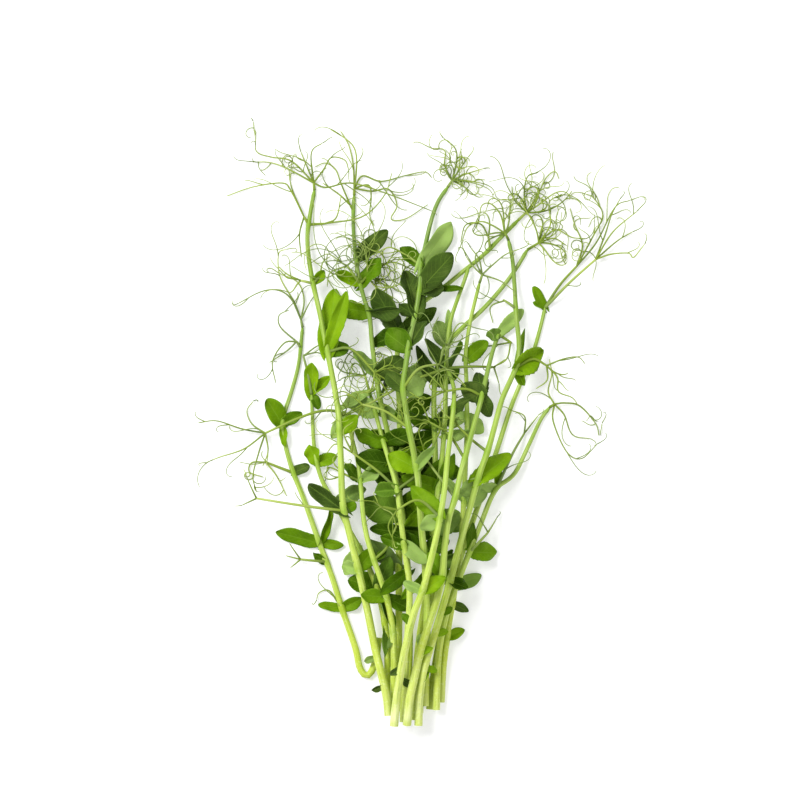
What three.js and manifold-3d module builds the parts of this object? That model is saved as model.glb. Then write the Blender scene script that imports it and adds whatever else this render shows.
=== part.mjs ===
// Pea shoots, cut and gathered in a loose bunch that lies on a flat surface.
// Millimetres, +Z up. The cut ends point along -Y and the tips along +Y, and the origin is on the
// surface, under the middle of the bunch.
//
// Each shoot is one solid: a six-sided stem that tapers, thin oval leaves in pairs at its joints, and
// leaf stalks that end in branching tendrils. The stems are laid one after another, each over those
// that are there already. A leaf or tendril has its place seen from above in the table, and its height
// and tilt are drawn again until it clears every other shoot.
import * as THREE from "three";
import { mergeVertices } from "three/addons/utils/BufferGeometryUtils.js";
import Module from "manifold-3d";

// Stems.
const STEM_FLAT = 1.5; // from the axis to a flat, at the cut end
const STEM_TAPER = 0.52; // share of that lost at the tip
const STEM_SIDES = 6;
const CORNER = 1 / Math.cos(Math.PI / STEM_SIDES); // corner radius over flat radius
const STEM_STEP = 16; // longest facet along a stem
const STEM_TURN = 12; // most that a stem turns from facet to facet, in degrees
const BEND_R = 80; // tightest arc of a stem that climbs over another
const GAP = 0.4; // clear space between two shoots

// Leaves.
const LEAF_HALF = 0.4; // half a leaf's thickness at its midrib
const LEAF_ROWS = [0.18, 0.52, 0.85]; // where its outline has points, root 0 and tip 1
const LEAF_LOW = 0.45; // how far a leaf's root is under the stem's axis, per half stem
const LEAF_FOLD = 0.22; // rise of the edges over the midrib, per half width
const LEAF_GUARD = 0.75; // clear radius round each point of a leaf

// Leaf stalks and tendrils.
const STALK_R = [0.75, 0.6];
const TENDRIL_R = [0.55, 0.45];
const STALK_STEP = 12;
const STALK_TURN = 28;
const TENDRIL_STEP = 11;
const TENDRIL_TURN = 46;
const ROOT_FREE = 5; // from its root to here a piece may touch its own shoot

const SPACING = 2; // between the points of a stem's line
const TRIES = 320;
const CELL = 4; // side of a cell of the grid that finds neighbours

// The shoots, in the order in which they are laid. All places are [x, y] seen from above. A route
// runs from the cut end to the tip. crest is how high the shoot bows off the surface. At each joint,
// leaves are [tip x, tip y, width]. A fan is a leaf stalk through the points in stalk, with a tendril
// through each list in lines. more is a number of tendrils that grow by rule, each up to reach long.
// A leaf or tendril that finds no room is left out.
const SHOOTS = [
  {
    name: "shoot_far_left",
    crest: 0,
    girth: 0.92,
    route: [
      [-17, -86], [-18, -94], [-19.6, -99.2], [-22, -101.4], [-24.6, -98], [-26.4, -90],
      [-31.6, -74.8], [-35.6, -62], [-40.8, -48], [-47.2, -30], [-51.6, -18.8], [-54.6, -8],
      [-55.6, 1.2], [-52, 13.2], [-49.2, 24], [-47.6, 38.8],
    ],
    joints: [
      {
        at: [-31.6, -74.8],
        leaves: [[-41.6, -74.4, 4.5], [-22.8, -70.8, 6.5]],
        fans: [{ stalk: [[-34, -71]], lines: [[[-37, -67], [-41, -68], [-42, -71]]] }],
      },
      {
        at: [-37.4, -56],
        leaves: [[-43.8, -53, 5]],
        fans: [{ stalk: [[-49, -54.4]], lines: [[[-52.8, -48]], [[-54.5, -53]], [[-52.6, -58]]] }],
      },
      { at: [-40.8, -48], leaves: [[-56.8, -39, 8.4], [-34.6, -34, 6.5], [-31, -49, 5]] },
      {
        at: [-51.6, -19.2],
        leaves: [[-44.4, -17.4, 5.6]],
        fans: [
          {
            stalk: [[-63, -15.2]],
            lines: [[[-68, -15.6], [-69, -19.4], [-63.4, -21.4]], [[-58, -21], [-54, -29.2]]],
          },
        ],
      },
      { at: [-55.6, -1], leaves: [[-62.4, 10, 9.6], [-48.6, 5.8, 6], [-52, -8.4, 5]] },
      {
        at: [-48.2, 31.5],
        fans: [
          {
            stalk: [[-50.4, 33.6]],
            lines: [
              [[-56.4, 38.8], [-57, 43.6], [-52.8, 45.8]],
              [[-55, 32.4], [-59.6, 25], [-58.4, 16.4]],
              [[-53.6, 29.6], [-61, 24.6]],
            ],
          },
        ],
      },
      {
        at: [-47.6, 38.8],
        fans: [
          {
            stalk: [[-48.4, 42.6]],
            lines: [
              [[-52, 50], [-57, 53.6], [-64, 53.2], [-73.6, 48.4]],
              [[-47, 50], [-49.6, 57], [-56.6, 60.4]],
              [[-51, 49], [-56.6, 59], [-57.2, 68.4], [-54, 70.2]],
              [[-44.4, 49.4]],
            ],
          },
        ],
      },
    ],
  },
  {
    name: "shoot_far_right",
    crest: 0,
    girth: 0.95,
    route: [
      [3.6, -114.8], [5, -102], [9, -80], [16, -54], [24, -30], [30.8, -10], [36, 6], [40.8, 18],
      [45.6, 30], [48.4, 40], [50, 46.8],
    ],
    joints: [
      { at: [13, -65], leaves: [[24, -60, 7], [3, -57, 7]] },
      {
        at: [50, 46.8],
        leaves: [[46.4, 56, 5.4], [45, 48.4, 4]],
        fans: [
          {
            stalk: [[56, 56], [63.2, 64]],
            lines: [
              [[65, 72], [62, 80], [60, 87]],
              [[69, 75], [73.2, 84], [69.4, 91], [66, 92.6]],
              [[70.6, 73], [78, 87], [84.4, 90]],
            ],
          },
          {
            stalk: [[60, 57], [70.8, 66.6]],
            lines: [
              [[74, 76], [76.6, 84], [80, 90.4]],
              [[77, 77], [87, 85.6]],
              [[79, 73.6], [85.4, 77.4]],
              [[76.4, 68.2], [83.6, 68.6], [85.4, 66.8], [90, 72.4]],
            ],
          },
        ],
      },
    ],
  },
  {
    name: "shoot_cross",
    crest: 2,
    girth: 1,
    route: [
      [-9.4, -115.6], [-9.2, -106], [-9, -90], [-8.8, -70], [-8.8, -50], [-8.6, -30], [-8.4, -10],
      [-8.8, 10], [-9.6, 26], [-7.6, 38], [-0.6, 47.6], [8, 54], [16.8, 61.2], [24.8, 67.6],
      [32, 74.8], [39.2, 82],
    ],
    joints: [
      { at: [-8.8, -72], leaves: [[-21, -75, 10], [4, -66, 11]] },
      { at: [-8.8, -58], leaves: [[-24, -50, 12], [5, -47, 12]] },
      { at: [-8.6, -36], leaves: [[-24, -31, 12.5], [7, -28, 12]] },
      { at: [-8.5, -24], leaves: [[-21, -17, 9], [5, -13, 9]] },
      { at: [-8.4, -12], leaves: [[-23, -5, 11], [6, -3, 10]] },
      { at: [-8.6, 2], leaves: [[-20, 9, 10], [4, 11, 10]] },
      { at: [-9, 14], leaves: [[-24, 20, 12], [5, 24, 11]] },
      { at: [-8, 37], leaves: [[-17, 55, 13], [-20, 33, 9], [4, 49, 9]] },
      { at: [8, 54], leaves: [[16.4, 51, 6]] },
      {
        at: [28, 70.6],
        fans: [
          { stalk: [[27, 76]], lines: [[[24, 80.4], [18, 80], [16, 73]]], more: 1, reach: 16 },
        ],
      },
      {
        at: [39.2, 82],
        fans: [
          {
            stalk: [[43, 85.6]],
            lines: [
              [[47, 92], [50.4, 99], [54, 101.6], [55.6, 98.4]],
              [[41.6, 93], [43, 99.6], [47.2, 101]],
              [[37.6, 90], [36.6, 95.8]],
            ],
            more: 5,
            reach: 24,
          },
        ],
      },
    ],
  },
  {
    name: "shoot_tower",
    crest: 5,
    girth: 0.95,
    route: [
      [-5.2, -117.2], [-5, -106], [-4.6, -90], [-4.6, -74], [-5.6, -54], [-7.2, -38], [-10, -22],
      [-12.8, -6], [-16, 8], [-18, 20], [-19.6, 32], [-20.6, 42.8], [-23, 51], [-24.8, 58],
      [-26, 66], [-27, 76], [-27.2, 85], [-26.8, 92],
    ],
    joints: [
      { at: [-5.4, -60], leaves: [[-19, -65, 11], [8, -52, 10]] },
      { at: [-6.5, -44], leaves: [[-20, -39, 11], [7, -36, 10]] },
      { at: [-11, -16], leaves: [[-26, -12, 11], [2, -9, 10]] },
      { at: [-16.8, 12], leaves: [[-28, 16, 10], [-8, 17, 9]] },
      { at: [-18, 20], leaves: [[-29, 27, 9], [-9, 29, 11]] },
      { at: [-21, 45], leaves: [[-33, 47, 8], [-10, 52, 13]] },
      {
        at: [-24.6, 57],
        leaves: [[-33.4, 62.4, 7], [-15, 66, 10]],
        fans: [
          { stalk: [[-30, 64]], lines: [[[-36.4, 60.6], [-37.6, 55]]], more: 2, reach: 16 },
          {
            stalk: [[-21, 60]],
            lines: [[[-12, 65], [-3, 62]], [[-18, 55], [-10, 50]]],
            more: 4,
            reach: 18,
          },
        ],
      },
      { at: [-26, 67], leaves: [[-12.4, 77, 10]] },
      {
        at: [-27.2, 86],
        fans: [
          {
            stalk: [[-28.8, 88.6]],
            lines: [
              [[-33, 92.4], [-39.6, 97]],
              [[-32, 96.4], [-34.4, 102.4], [-38.4, 105], [-42.6, 103.4]],
            ],
          },
        ],
      },
      {
        at: [-26.8, 92],
        fans: [
          {
            stalk: [[-26.8, 95.4]],
            lines: [
              [[-27.2, 104], [-29, 112], [-32.4, 118]],
              [[-25.8, 104], [-26.6, 110.4], [-30, 114.4], [-36.4, 118.4]],
              [[-23.4, 99.8], [-16, 97.6], [-6, 100], [1.6, 101.4], [4.4, 99]],
              [[-21, 96], [-20, 91], [-20.6, 84], [-18.8, 79.6]],
              [[-19.6, 93.6], [-13, 94.4], [-9.6, 88], [-12, 82.4], [-6, 82.6], [3, 88.4]],
            ],
          },
        ],
      },
    ],
  },
  {
    name: "shoot_upper_right",
    crest: 4,
    girth: 1,
    route: [
      [-0.6, -116.4], [-0.2, -106], [1.4, -90], [4.4, -70], [6.2, -54], [6.4, -38], [6, -22],
      [5.6, -6], [5.2, 10], [6.4, 22], [10.4, 32], [16.8, 38.8], [24.8, 46], [32, 54], [38, 62],
      [42.8, 70],
    ],
    joints: [
      { at: [5.2, -62], leaves: [[-8, -56, 9], [17, -54, 8]] },
      { at: [6.3, -36], leaves: [[-7, -30, 10], [17, -42, 9]] },
      { at: [6, -20], leaves: [[-6, -16, 8], [16, -18, 8]] },
      { at: [5.4, 0], leaves: [[-9, 6, 9], [17, 8, 8]] },
      { at: [5.8, 17], leaves: [[1.6, 33, 9], [15.6, 22, 6]] },
      { at: [10.4, 32], leaves: [[6.2, 41, 7.5], [16, 45, 4.5]] },
      {
        at: [42.8, 70],
        fans: [
          {
            stalk: [[48, 73.2]],
            lines: [
              [[54, 78], [60.6, 75], [66.6, 74.4]],
              [[53.6, 74.6], [58.6, 71.8]],
              [[52, 80], [51.6, 89], [57, 92.6]],
            ],
            more: 5,
            reach: 22,
          },
        ],
      },
    ],
  },
  {
    name: "shoot_back_right",
    crest: 6,
    girth: 0.9,
    route: [
      [8.2, -112], [9, -98], [11, -82], [13.6, -66], [15.8, -50], [17, -34], [17.8, -18],
      [18.4, -2], [18.4, 14], [18, 28], [19.6, 40], [21.6, 48.8], [23.6, 56.8],
    ],
    joints: [
      { at: [10.4, -86], leaves: [[17.6, -82.6, 4.5]] },
      { at: [12.4, -73], leaves: [[19.4, -75.6, 3.6]] },
      { at: [17.2, -31], leaves: [[7, -24, 8], [27, -27, 7]] },
      { at: [18.3, 4], leaves: [[10, 1, 8], [24.6, -4, 6.5]] },
      { at: [18, 26], leaves: [[27.6, 32.4, 7]] },
      {
        at: [23.6, 56.8],
        fans: [
          {
            stalk: [[24.8, 60.6]],
            lines: [
              [[29, 64], [34, 68], [40, 70.4]],
              [[23.4, 66], [20, 71]],
              [[32, 57.4], [37, 53.6]],
            ],
            more: 2,
            reach: 18,
          },
        ],
      },
    ],
  },
  {
    name: "shoot_inner_left",
    crest: 3,
    girth: 0.9,
    route: [
      [-13.4, -110], [-13.4, -102], [-13.8, -86], [-16.6, -70], [-21.6, -56], [-28, -44],
      [-34.4, -32], [-40, -22], [-42.8, -10], [-43.6, 2], [-44, 12],
    ],
    joints: [
      { at: [-14.6, -80], leaves: [[-17, -93, 4.5]] },
      { at: [-17.4, -67], leaves: [[-29, -62, 10], [-8, -56, 10]] },
      { at: [-24.6, -50], leaves: [[-29.8, -61, 6.5], [-14, -41, 11]] },
      { at: [-34.4, -32], leaves: [[-22, -26, 9]] },
      { at: [-41.4, -16], leaves: [[-45.6, -8.6, 8.6], [-33.4, -13.6, 6]] },
      {
        at: [-44, 12],
        leaves: [[-47, 24.6, 8.6], [-38.4, 21, 6], [-39.8, 6.6, 5]],
        fans: [
          {
            stalk: [[-45.2, 19], [-47.4, 28]],
            lines: [[[-41, 31.6], [-37.6, 29.6]]],
            more: 1,
            reach: 12,
          },
        ],
      },
    ],
  },
  {
    name: "shoot_back_centre",
    crest: 8,
    girth: 0.95,
    route: [
      [-2.6, -118.8], [-2.4, -106], [-0.6, -86], [2.4, -66], [4.4, -46], [6.4, -30], [8.4, -14],
      [9.6, 2], [10, 16], [10.4, 28], [11.6, 40], [14.4, 49.2], [17.2, 56.8], [19.2, 62.8],
    ],
    joints: [
      { at: [3, -60], leaves: [[-10, -68, 9], [15, -50, 9]] },
      { at: [4.6, -44], leaves: [[-8, -39, 10], [15, -36, 9]] },
      { at: [7, -25], leaves: [[-6, -18, 10], [17, -14, 9]] },
      { at: [8, -16], leaves: [[-1, -24, 8]] },
      { at: [9.2, -4], leaves: [[20, 0.4, 8.4], [2, 4, 7]] },
      { at: [10.2, 22], leaves: [[-2, 30, 9], [20, 30, 7]] },
      {
        at: [19.2, 62.8],
        fans: [
          {
            stalk: [[20.2, 67]],
            lines: [
              [[21.6, 76], [20.8, 84.4]],
              [[16, 72], [16.6, 79], [20, 83]],
              [[26, 71], [28, 77]],
            ],
            more: 2,
            reach: 16,
          },
        ],
      },
    ],
  },
  {
    name: "shoot_centre",
    crest: 16,
    girth: 1.04,
    route: [
      [1.6, -113.2], [1.8, -102], [2.2, -90], [2.4, -78], [2, -66], [1.6, -56], [0.4, -44],
      [-0.4, -34], [-1.2, -22], [-2.8, -12], [-4.8, -2], [-6.4, 8], [-7.2, 14.8], [-6, 24],
      [-4.4, 34], [-2, 45.2], [-0.4, 56], [-0.2, 62.8], [1.6, 70.8], [4, 81.2], [6.8, 89.2],
      [10.8, 95.2],
    ],
    joints: [
      { at: [1.2, -52], leaves: [[-11, -44, 8], [11, -46, 7]] },
      { at: [-2, -18], leaves: [[-13, -12, 8], [9, -12, 8]] },
      {
        at: [-4.8, -2],
        fans: [
          {
            stalk: [[-14, 5], [-24, 8]],
            lines: [[[-31, 13], [-36, 10]], [[-30, 4], [-36, 0]]],
            more: 2,
            reach: 14,
          },
        ],
      },
      {
        at: [-7.2, 14.8],
        leaves: [[-14, 20.4, 6.5], [2.4, 15.4, 9]],
        fans: [
          {
            stalk: [[-1, 22], [8, 24]],
            lines: [[[15, 28], [20, 25]], [[13, 20], [18, 15]]],
            more: 2,
            reach: 12,
          },
        ],
      },
      { at: [-5, 30], leaves: [[-14.6, 37, 9], [4, 40, 10]] },
      { at: [-2, 44], leaves: [[-7, 62, 13], [-10, 46, 8]] },
      { at: [-0.6, 53], leaves: [[11, 70, 11], [9, 54, 9]] },
      {
        at: [-0.2, 63],
        leaves: [[12.4, 81.2, 11], [-8, 71, 6]],
        fans: [{ stalk: [[-6, 68]], lines: [[[-13, 71], [-17, 67]]] }],
      },
      {
        at: [10.8, 95.2],
        fans: [
          {
            stalk: [[13, 98.6]],
            lines: [
              [[18, 100.4], [25.2, 102.8]],
              [[17, 98], [24.4, 96.8]],
              [[17.4, 95.4], [20, 93.4]],
              [[16, 103], [19.2, 107.6]],
              [[14.4, 106], [13.6, 111], [9, 115]],
              [[9.6, 104], [9.6, 110], [4.4, 111]],
            ],
            more: 2,
            reach: 12,
          },
        ],
      },
    ],
  },
  {
    name: "shoot_low_left",
    crest: 10,
    girth: 0.95,
    route: [
      [-11, -114.8], [-11, -106], [-10.8, -94], [-11.4, -82], [-13.6, -70], [-16.4, -61.2],
      [-19.2, -53.2], [-21.6, -45.2], [-23.2, -36], [-24, -26], [-25.2, -16], [-27.6, -6], [-30, 4],
    ],
    joints: [
      { at: [-11.2, -84], leaves: [[-18, -71, 7]] },
      { at: [-14, -69], leaves: [[-4.4, -74.4, 6], [-24, -67, 7]] },
      {
        at: [-18.6, -55],
        leaves: [[-13.6, -50.6, 3.4]],
        fans: [{ stalk: [[-13.4, -49], [-9.6, -40.4]], lines: [[[-11.6, -36], [-15.4, -34]]] }],
      },
      {
        at: [-24, -23],
        leaves: [[-17.4, -17.4, 8.4], [-30.4, -16, 6]],
        fans: [
          { stalk: [[-31, -20]], lines: [[[-37, -17.6], [-38.4, -22.4]]], more: 2, reach: 14 },
        ],
      },
      {
        at: [-30, 4],
        leaves: [[-36, -6, 6]],
        fans: [
          {
            stalk: [[-38, 5.4], [-48, 2.8], [-63.2, -4]],
            lines: [
              [[-72, -2], [-82, 1.2], [-89.6, 0.4]],
              [[-71, -10], [-81, -13.4], [-86.4, -15.6]],
              [[-68, 0], [-70, 5.2], [-67.4, 9.2]],
              [[-65.2, -12], [-67.4, -21], [-66, -27.4]],
              [[-61.4, -11], [-63.6, -17]],
            ],
          },
        ],
      },
    ],
  },
  {
    name: "shoot_mid_left",
    crest: 15,
    girth: 1,
    route: [
      [-7, -119.6], [-6.8, -110], [-6, -94], [-5.2, -82], [-4.6, -72], [-4.8, -62], [-6, -54],
      [-7.6, -42], [-8.8, -32], [-9.8, -25], [-12, -17.2], [-14.8, -8], [-17.6, 2], [-20.4, 12],
    ],
    joints: [
      { at: [-6.8, -49], leaves: [[1.8, -56.6, 7.4], [-16.4, -45, 6.5]] },
      {
        at: [-9.4, -27],
        leaves: [[-18.6, -27, 8]],
        fans: [
          { stalk: [[0, -18], [8.4, -0.8]], lines: [[[12, 3], [17, 1]]], more: 1, reach: 14 },
          {
            stalk: [[-17, -19], [-28, -11]],
            lines: [[[-34, -8], [-38, -12]], [[-31, -3], [-27, 1]]],
            more: 2,
            reach: 12,
          },
        ],
      },
      { at: [-14.8, -8], leaves: [[-27, -2, 9], [-4, -1, 9]] },
      { at: [-18, 3.4], leaves: [[-29, 11, 9]] },
      {
        at: [-20.4, 12],
        leaves: [[-33.4, 6.4, 8.4], [-12, 21, 8]],
        fans: [
          {
            stalk: [[-22.6, 20]],
            lines: [[[-27, 29], [-31, 24], [-29, 20]], [[-18, 28], [-10, 26]]],
            more: 3,
            reach: 16,
          },
        ],
      },
    ],
  },
  {
    name: "shoot_right_low",
    crest: 5,
    girth: 0.95,
    route: [
      [6.2, -114.8], [6.4, -106], [7, -94], [8.4, -84], [10.8, -74], [14, -65.2], [17.6, -56],
      [20.8, -48], [24.8, -38], [28, -30], [31, -25], [35, -22.4], [38.6, -18.4], [44, -7.2],
      [48.4, 2], [52, 6.8],
    ],
    joints: [
      {
        at: [19.6, -51],
        leaves: [[31, -52, 7.6], [20.4, -39.6, 5.6]],
        fans: [{ stalk: [[27.4, -43]], lines: [[[30.6, -37.6]], [[24.6, -39.6]]] }],
      },
      {
        at: [30, -26.4],
        leaves: [[23.6, -26, 6.6], [28.6, -16.4, 5]],
        fans: [
          { stalk: [[36.8, -12], [42, -3.2]], lines: [[[41.6, 3], [36.4, 5.4]], [[47.4, 3.6]]] },
        ],
      },
      {
        at: [52, 6.8],
        fans: [
          {
            stalk: [[54, 8.2]],
            lines: [
              [[53.2, 1], [58.4, -11], [64.4, -14], [71, -8]],
              [[58, 8.4], [64, 7.2], [70.4, 0], [71.8, -5], [73, 0.4]],
              [[57.6, 3.6], [61, -4.4], [68.4, -6]],
              [[51.2, 13], [52.6, 20], [51.6, 26]],
            ],
          },
        ],
      },
    ],
  },
  {
    name: "shoot_right",
    crest: 14,
    girth: 1.04,
    route: [
      [-1, -120.8], [-0.6, -110], [1.2, -98], [4.8, -86], [8.4, -74], [11.8, -62], [14.4, -52],
      [17.6, -40], [20.4, -30], [23.2, -20], [26.8, -10], [29.6, 0], [32.4, 10], [36, 18],
      [38.8, 25], [39.2, 33], [38.2, 44], [37.6, 56], [36.8, 66], [35.2, 74],
    ],
    joints: [
      { at: [11.6, -62], leaves: [[18.4, -66, 6.4]] },
      { at: [22.4, -23], leaves: [[15.8, -29, 7], [36.6, -11.6, 7.6]] },
      {
        at: [26.4, -11],
        fans: [
          {
            stalk: [[20, -6], [14, 0]],
            lines: [[[8, 6], [9, 11]], [[12, 7], [15, 12]]],
            more: 1,
            reach: 10,
          },
        ],
      },
      {
        at: [38.6, 23.5],
        leaves: [[49, 31, 11.6], [41.8, 38, 2.6], [41.4, 15.4, 5]],
        fans: [
          {
            stalk: [[45, 26], [51, 23]],
            lines: [
              [[57, 26], [63, 26.8], [66, 24]],
              [[54.6, 18.6], [55, 13], [60.4, 10.6], [62.6, 8]],
              [[50.6, 17.6], [46, 14]],
            ],
            more: 1,
            reach: 12,
          },
        ],
      },
      { at: [38, 46], fans: [{ stalk: [[33, 50]], lines: [[[28, 47], [29, 40.4]]] }] },
      {
        at: [35.2, 74],
        fans: [
          {
            stalk: [[33.4, 77.2]],
            lines: [
              [[28.8, 79.6], [24, 81.2], [18.8, 79], [16.4, 73]],
              [[32, 84], [28, 88.4], [24.4, 87.6], [23.4, 82]],
            ],
            more: 4,
            reach: 20,
          },
        ],
      },
    ],
  },
  {
    name: "shoot_left",
    crest: 13,
    girth: 1.06,
    route: [
      [-13, -116.8], [-14, -108], [-18.4, -90], [-22.4, -70], [-28, -46], [-31.2, -32], [-32, -14],
      [-33.2, 6], [-36.8, 26], [-40, 42], [-44, 60], [-45.6, 74], [-44.4, 85.2], [-42.8, 94],
    ],
    joints: [
      { at: [-25.4, -58], leaves: [[-18.8, -50, 6.6], [-31.6, -56.4, 6]] },
      {
        at: [-31, -34],
        leaves: [[-45, -24.6, 7.6], [-25.8, -32, 4.4]],
        fans: [
          { stalk: [[-48, -32.4], [-66.4, -29.6]], lines: [[[-69.4, -22]], [[-71.8, -32.6]]] },
        ],
      },
      { at: [-32.6, -3], leaves: [[-26.4, 4.6, 7]] },
      {
        at: [-37.2, 28],
        leaves: [[-33, 54, 11], [-25, 51, 8.4], [-28.6, 31, 7]],
        fans: [
          {
            stalk: [[-28, 30], [-18, 20]],
            lines: [[[-11.6, 9.6]], [[-14, 22], [-9, 20]], [[-20, 14], [-25, 12]]],
            more: 2,
            reach: 14,
          },
        ],
      },
      {
        at: [-43.4, 57],
        leaves: [[-38.8, 61.6, 5]],
        fans: [
          { stalk: [[-48.8, 57.6]], lines: [[[-53.6, 60], [-57.4, 63.4]]], more: 2, reach: 14 },
          { stalk: [[-40, 60]], lines: [[[-39.4, 65], [-36.4, 67.4]]] },
        ],
      },
      {
        at: [-45.4, 80],
        fans: [
          {
            stalk: [[-47.4, 84]],
            lines: [
              [[-52, 95], [-53.2, 103]],
              [[-52.4, 94], [-56, 96.8], [-68, 95.2], [-78.4, 91.6]],
              [[-48.8, 76], [-48, 66.8]],
            ],
          },
          {
            stalk: [[-38, 80.6]],
            lines: [[[-23.6, 83.2], [-14.8, 91.6], [-11.6, 101]], [[-34, 83], [-32, 92]]],
          },
        ],
      },
      {
        at: [-42.8, 94],
        fans: [
          {
            stalk: [[-43.2, 97.6]],
            lines: [
              [[-52, 105.6], [-60, 107.2], [-66, 109.4], [-66.6, 115], [-67.6, 122]],
              [[-54, 102.8], [-60.8, 105.2], [-67.2, 105.4]],
              [[-48.4, 109.6]],
              [[-39, 102.4], [-36, 107], [-30.6, 106], [-29, 102]],
              [[-44, 109], [-39.4, 113]],
              [[-38, 95], [-28, 96.6], [-14, 92.4], [4, 85.6]],
            ],
          },
        ],
      },
    ],
  },
  {
    name: "shoot_front_right",
    crest: 22,
    girth: 1.08,
    route: [
      [-5.6, -120.4], [-4.6, -110], [-2.4, -100], [0.4, -88], [3.6, -78], [6.4, -69.2], [8.4, -60],
      [9.2, -50], [10.8, -38], [13.6, -28.8], [15.6, -20], [18.4, -10], [21.2, 0], [24, 10],
      [26.4, 20], [28.8, 29.2], [31.2, 36],
    ],
    joints: [
      { at: [8.3, -61], leaves: [[3, -51, 6]] },
      {
        at: [13.2, -30],
        fans: [
          { stalk: [[8, -22], [2, -14]], lines: [[[-3.2, -9], [-9, -11]], [[1, -8.4], [6, -5]]] },
        ],
      },
      {
        at: [17.4, -13],
        fans: [
          {
            stalk: [[11, -4], [3, 1]],
            lines: [[[-4, 2], [-9, -2]], [[0, 8], [-5, 12]]],
            more: 2,
            reach: 12,
          },
        ],
      },
      {
        at: [24.6, 12],
        leaves: [[23, 21, 6.4], [15.6, 15, 8], [28, 2.6, 6]],
        fans: [
          {
            stalk: [[18, 14], [9, 13]],
            lines: [[[1, 10], [-5, 13]], [[4, 19], [-1, 23]]],
            more: 2,
            reach: 12,
          },
        ],
      },
      {
        at: [31.2, 36],
        leaves: [[36.6, 49, 11], [26, 35, 6.4]],
        fans: [
          {
            stalk: [[36.8, 32.4]],
            lines: [[[34.4, 26], [28.6, 22.6]], [[28, 31.4], [21, 31], [15, 29.6]]],
          },
        ],
      },
    ],
  },
  {
    name: "shoot_front",
    crest: 26,
    girth: 1.08,
    route: [
      [-10.8, -120.8], [-10, -112], [-8, -98], [-5.2, -84], [-2.6, -74], [0.4, -66.4], [3.2, -56],
      [5.6, -46], [7.6, -36], [9.2, -26], [10.4, -14], [12, -2], [13.2, 10], [12.8, 16],
      [10.4, 22.4],
    ],
    joints: [
      { at: [0.2, -67], leaves: [[-7.4, -62.4, 5], [9.8, -60.6, 6]] },
      {
        at: [7.4, -37],
        leaves: [[-4.6, -24.6, 7.4], [-0.4, -42, 6]],
        fans: [
          {
            stalk: [[-1, -30], [-10, -34]],
            lines: [[[-16, -33], [-20, -37]], [[-13, -40], [-11, -46]]],
            more: 1,
            reach: 10,
          },
        ],
      },
      { at: [12.6, 6], leaves: [[20, 9, 4]] },
      {
        at: [10.4, 22.4],
        fans: [
          { stalk: [[-4, 17], [-23.2, 6.8]], lines: [[[-30, 4], [-33, 9]], [[-26, 0], [-22, -6]]] },
          { stalk: [[20, 23], [30, 22.8]], lines: [[[31.4, 16]], [[34, 26]]] },
          {
            stalk: [[10.4, 32]],
            lines: [[[5, 37], [7, 43]], [[15, 40], [21, 38.6]]],
            more: 2,
            reach: 14,
          },
        ],
      },
    ],
  },
];

const LEAF_GREEN = 0x6f9a2c;
const STEM_GREEN = 0xb4cf6c;

const add = (a, b) => a.map((v, i) => v + b[i]);
const sub = (a, b) => a.map((v, i) => v - b[i]);
const mul = (a, k) => a.map((v) => v * k);
const dot = (a, b) => a.reduce((s, v, i) => s + v * b[i], 0);
const size = (a) => Math.sqrt(dot(a, a));
const unit = (a) => mul(a, 1 / size(a));
const mix = (a, b, t) => add(mul(a, 1 - t), mul(b, t));
const cross = ([a, b, c], [x, y, z]) => [b * z - c * y, c * x - a * z, a * y - b * x];
const radians = (degrees) => (degrees * Math.PI) / 180;

// Numbers from 0 to 1 that are the same in every run.
function stream(seed) {
  let state = seed * 7919 + 12345;
  const next = () => (state = (state * 16807) % 2147483647) / 2147483647;
  next();
  return (low, high) => low + (high - low) * next();
}

// A smooth line through points, as points about step apart.
function smoothLine(points, step) {
  const ends = [sub(mul(points[0], 2), points[1]), sub(mul(points.at(-1), 2), points.at(-2))];
  const p = [ends[0], ...points, ends[1]];
  const fine = [];
  for (let i = 1; i < p.length - 2; i++)
    for (let k = 0; k < 8; k++) {
      const t = k / 8;
      const weights = [
        (-t + 2 * t * t - t * t * t) / 2,
        (2 - 5 * t * t + 3 * t * t * t) / 2,
        (t + 4 * t * t - 3 * t * t * t) / 2,
        (-t * t + t * t * t) / 2,
      ];
      fine.push(weights.reduce((s, w, j) => add(s, mul(p[i - 1 + j], w)), mul(p[i], 0)));
    }
  fine.push(points.at(-1));
  return evenly(fine, step);
}

function evenly(line, step) {
  const run = [0];
  for (let i = 1; i < line.length; i++) run.push(run[i - 1] + size(sub(line[i], line[i - 1])));
  const n = Math.max(2, Math.round(run.at(-1) / step));
  const out = [line[0]];
  let j = 1;
  for (let i = 1; i < n; i++) {
    const want = (run.at(-1) * i) / n;
    while (run[j] < want) j++;
    out.push(mix(line[j - 1], line[j], (want - run[j - 1]) / (run[j] - run[j - 1])));
  }
  out.push(line.at(-1));
  return out;
}

// The points of a fine line that a faceted tube needs: one where it has gone a step or turned enough.
function facets(line, step, turn) {
  const kept = [0];
  let gone = 0;
  let turned = 0;
  for (let i = 1; i < line.length - 1; i++) {
    const back = unit(sub(line[i], line[i - 1]));
    const ahead = unit(sub(line[i + 1], line[i]));
    gone += size(sub(line[i], line[i - 1]));
    turned += Math.acos(Math.min(1, dot(back, ahead)));
    if (gone >= step || turned >= radians(turn)) {
      kept.push(i);
      gone = 0;
      turned = 0;
    }
  }
  if (kept.length > 1 && gone < 1) kept.pop();
  return [...kept, line.length - 1];
}

// What has been placed so far, as balls in a grid of cells.
const cells = new Map();
const cellKey = (x, y, z) => (x + 100) * 1000000 + (y + 100) * 1000 + (z + 100);
const cellOf = (v) => Math.floor(v / CELL);

function place(balls, shoot) {
  for (const [p, r] of balls) {
    const key = cellKey(...p.map(cellOf));
    if (!cells.has(key)) cells.set(key, []);
    cells.get(key).push([p, r, shoot]);
  }
}

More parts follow.
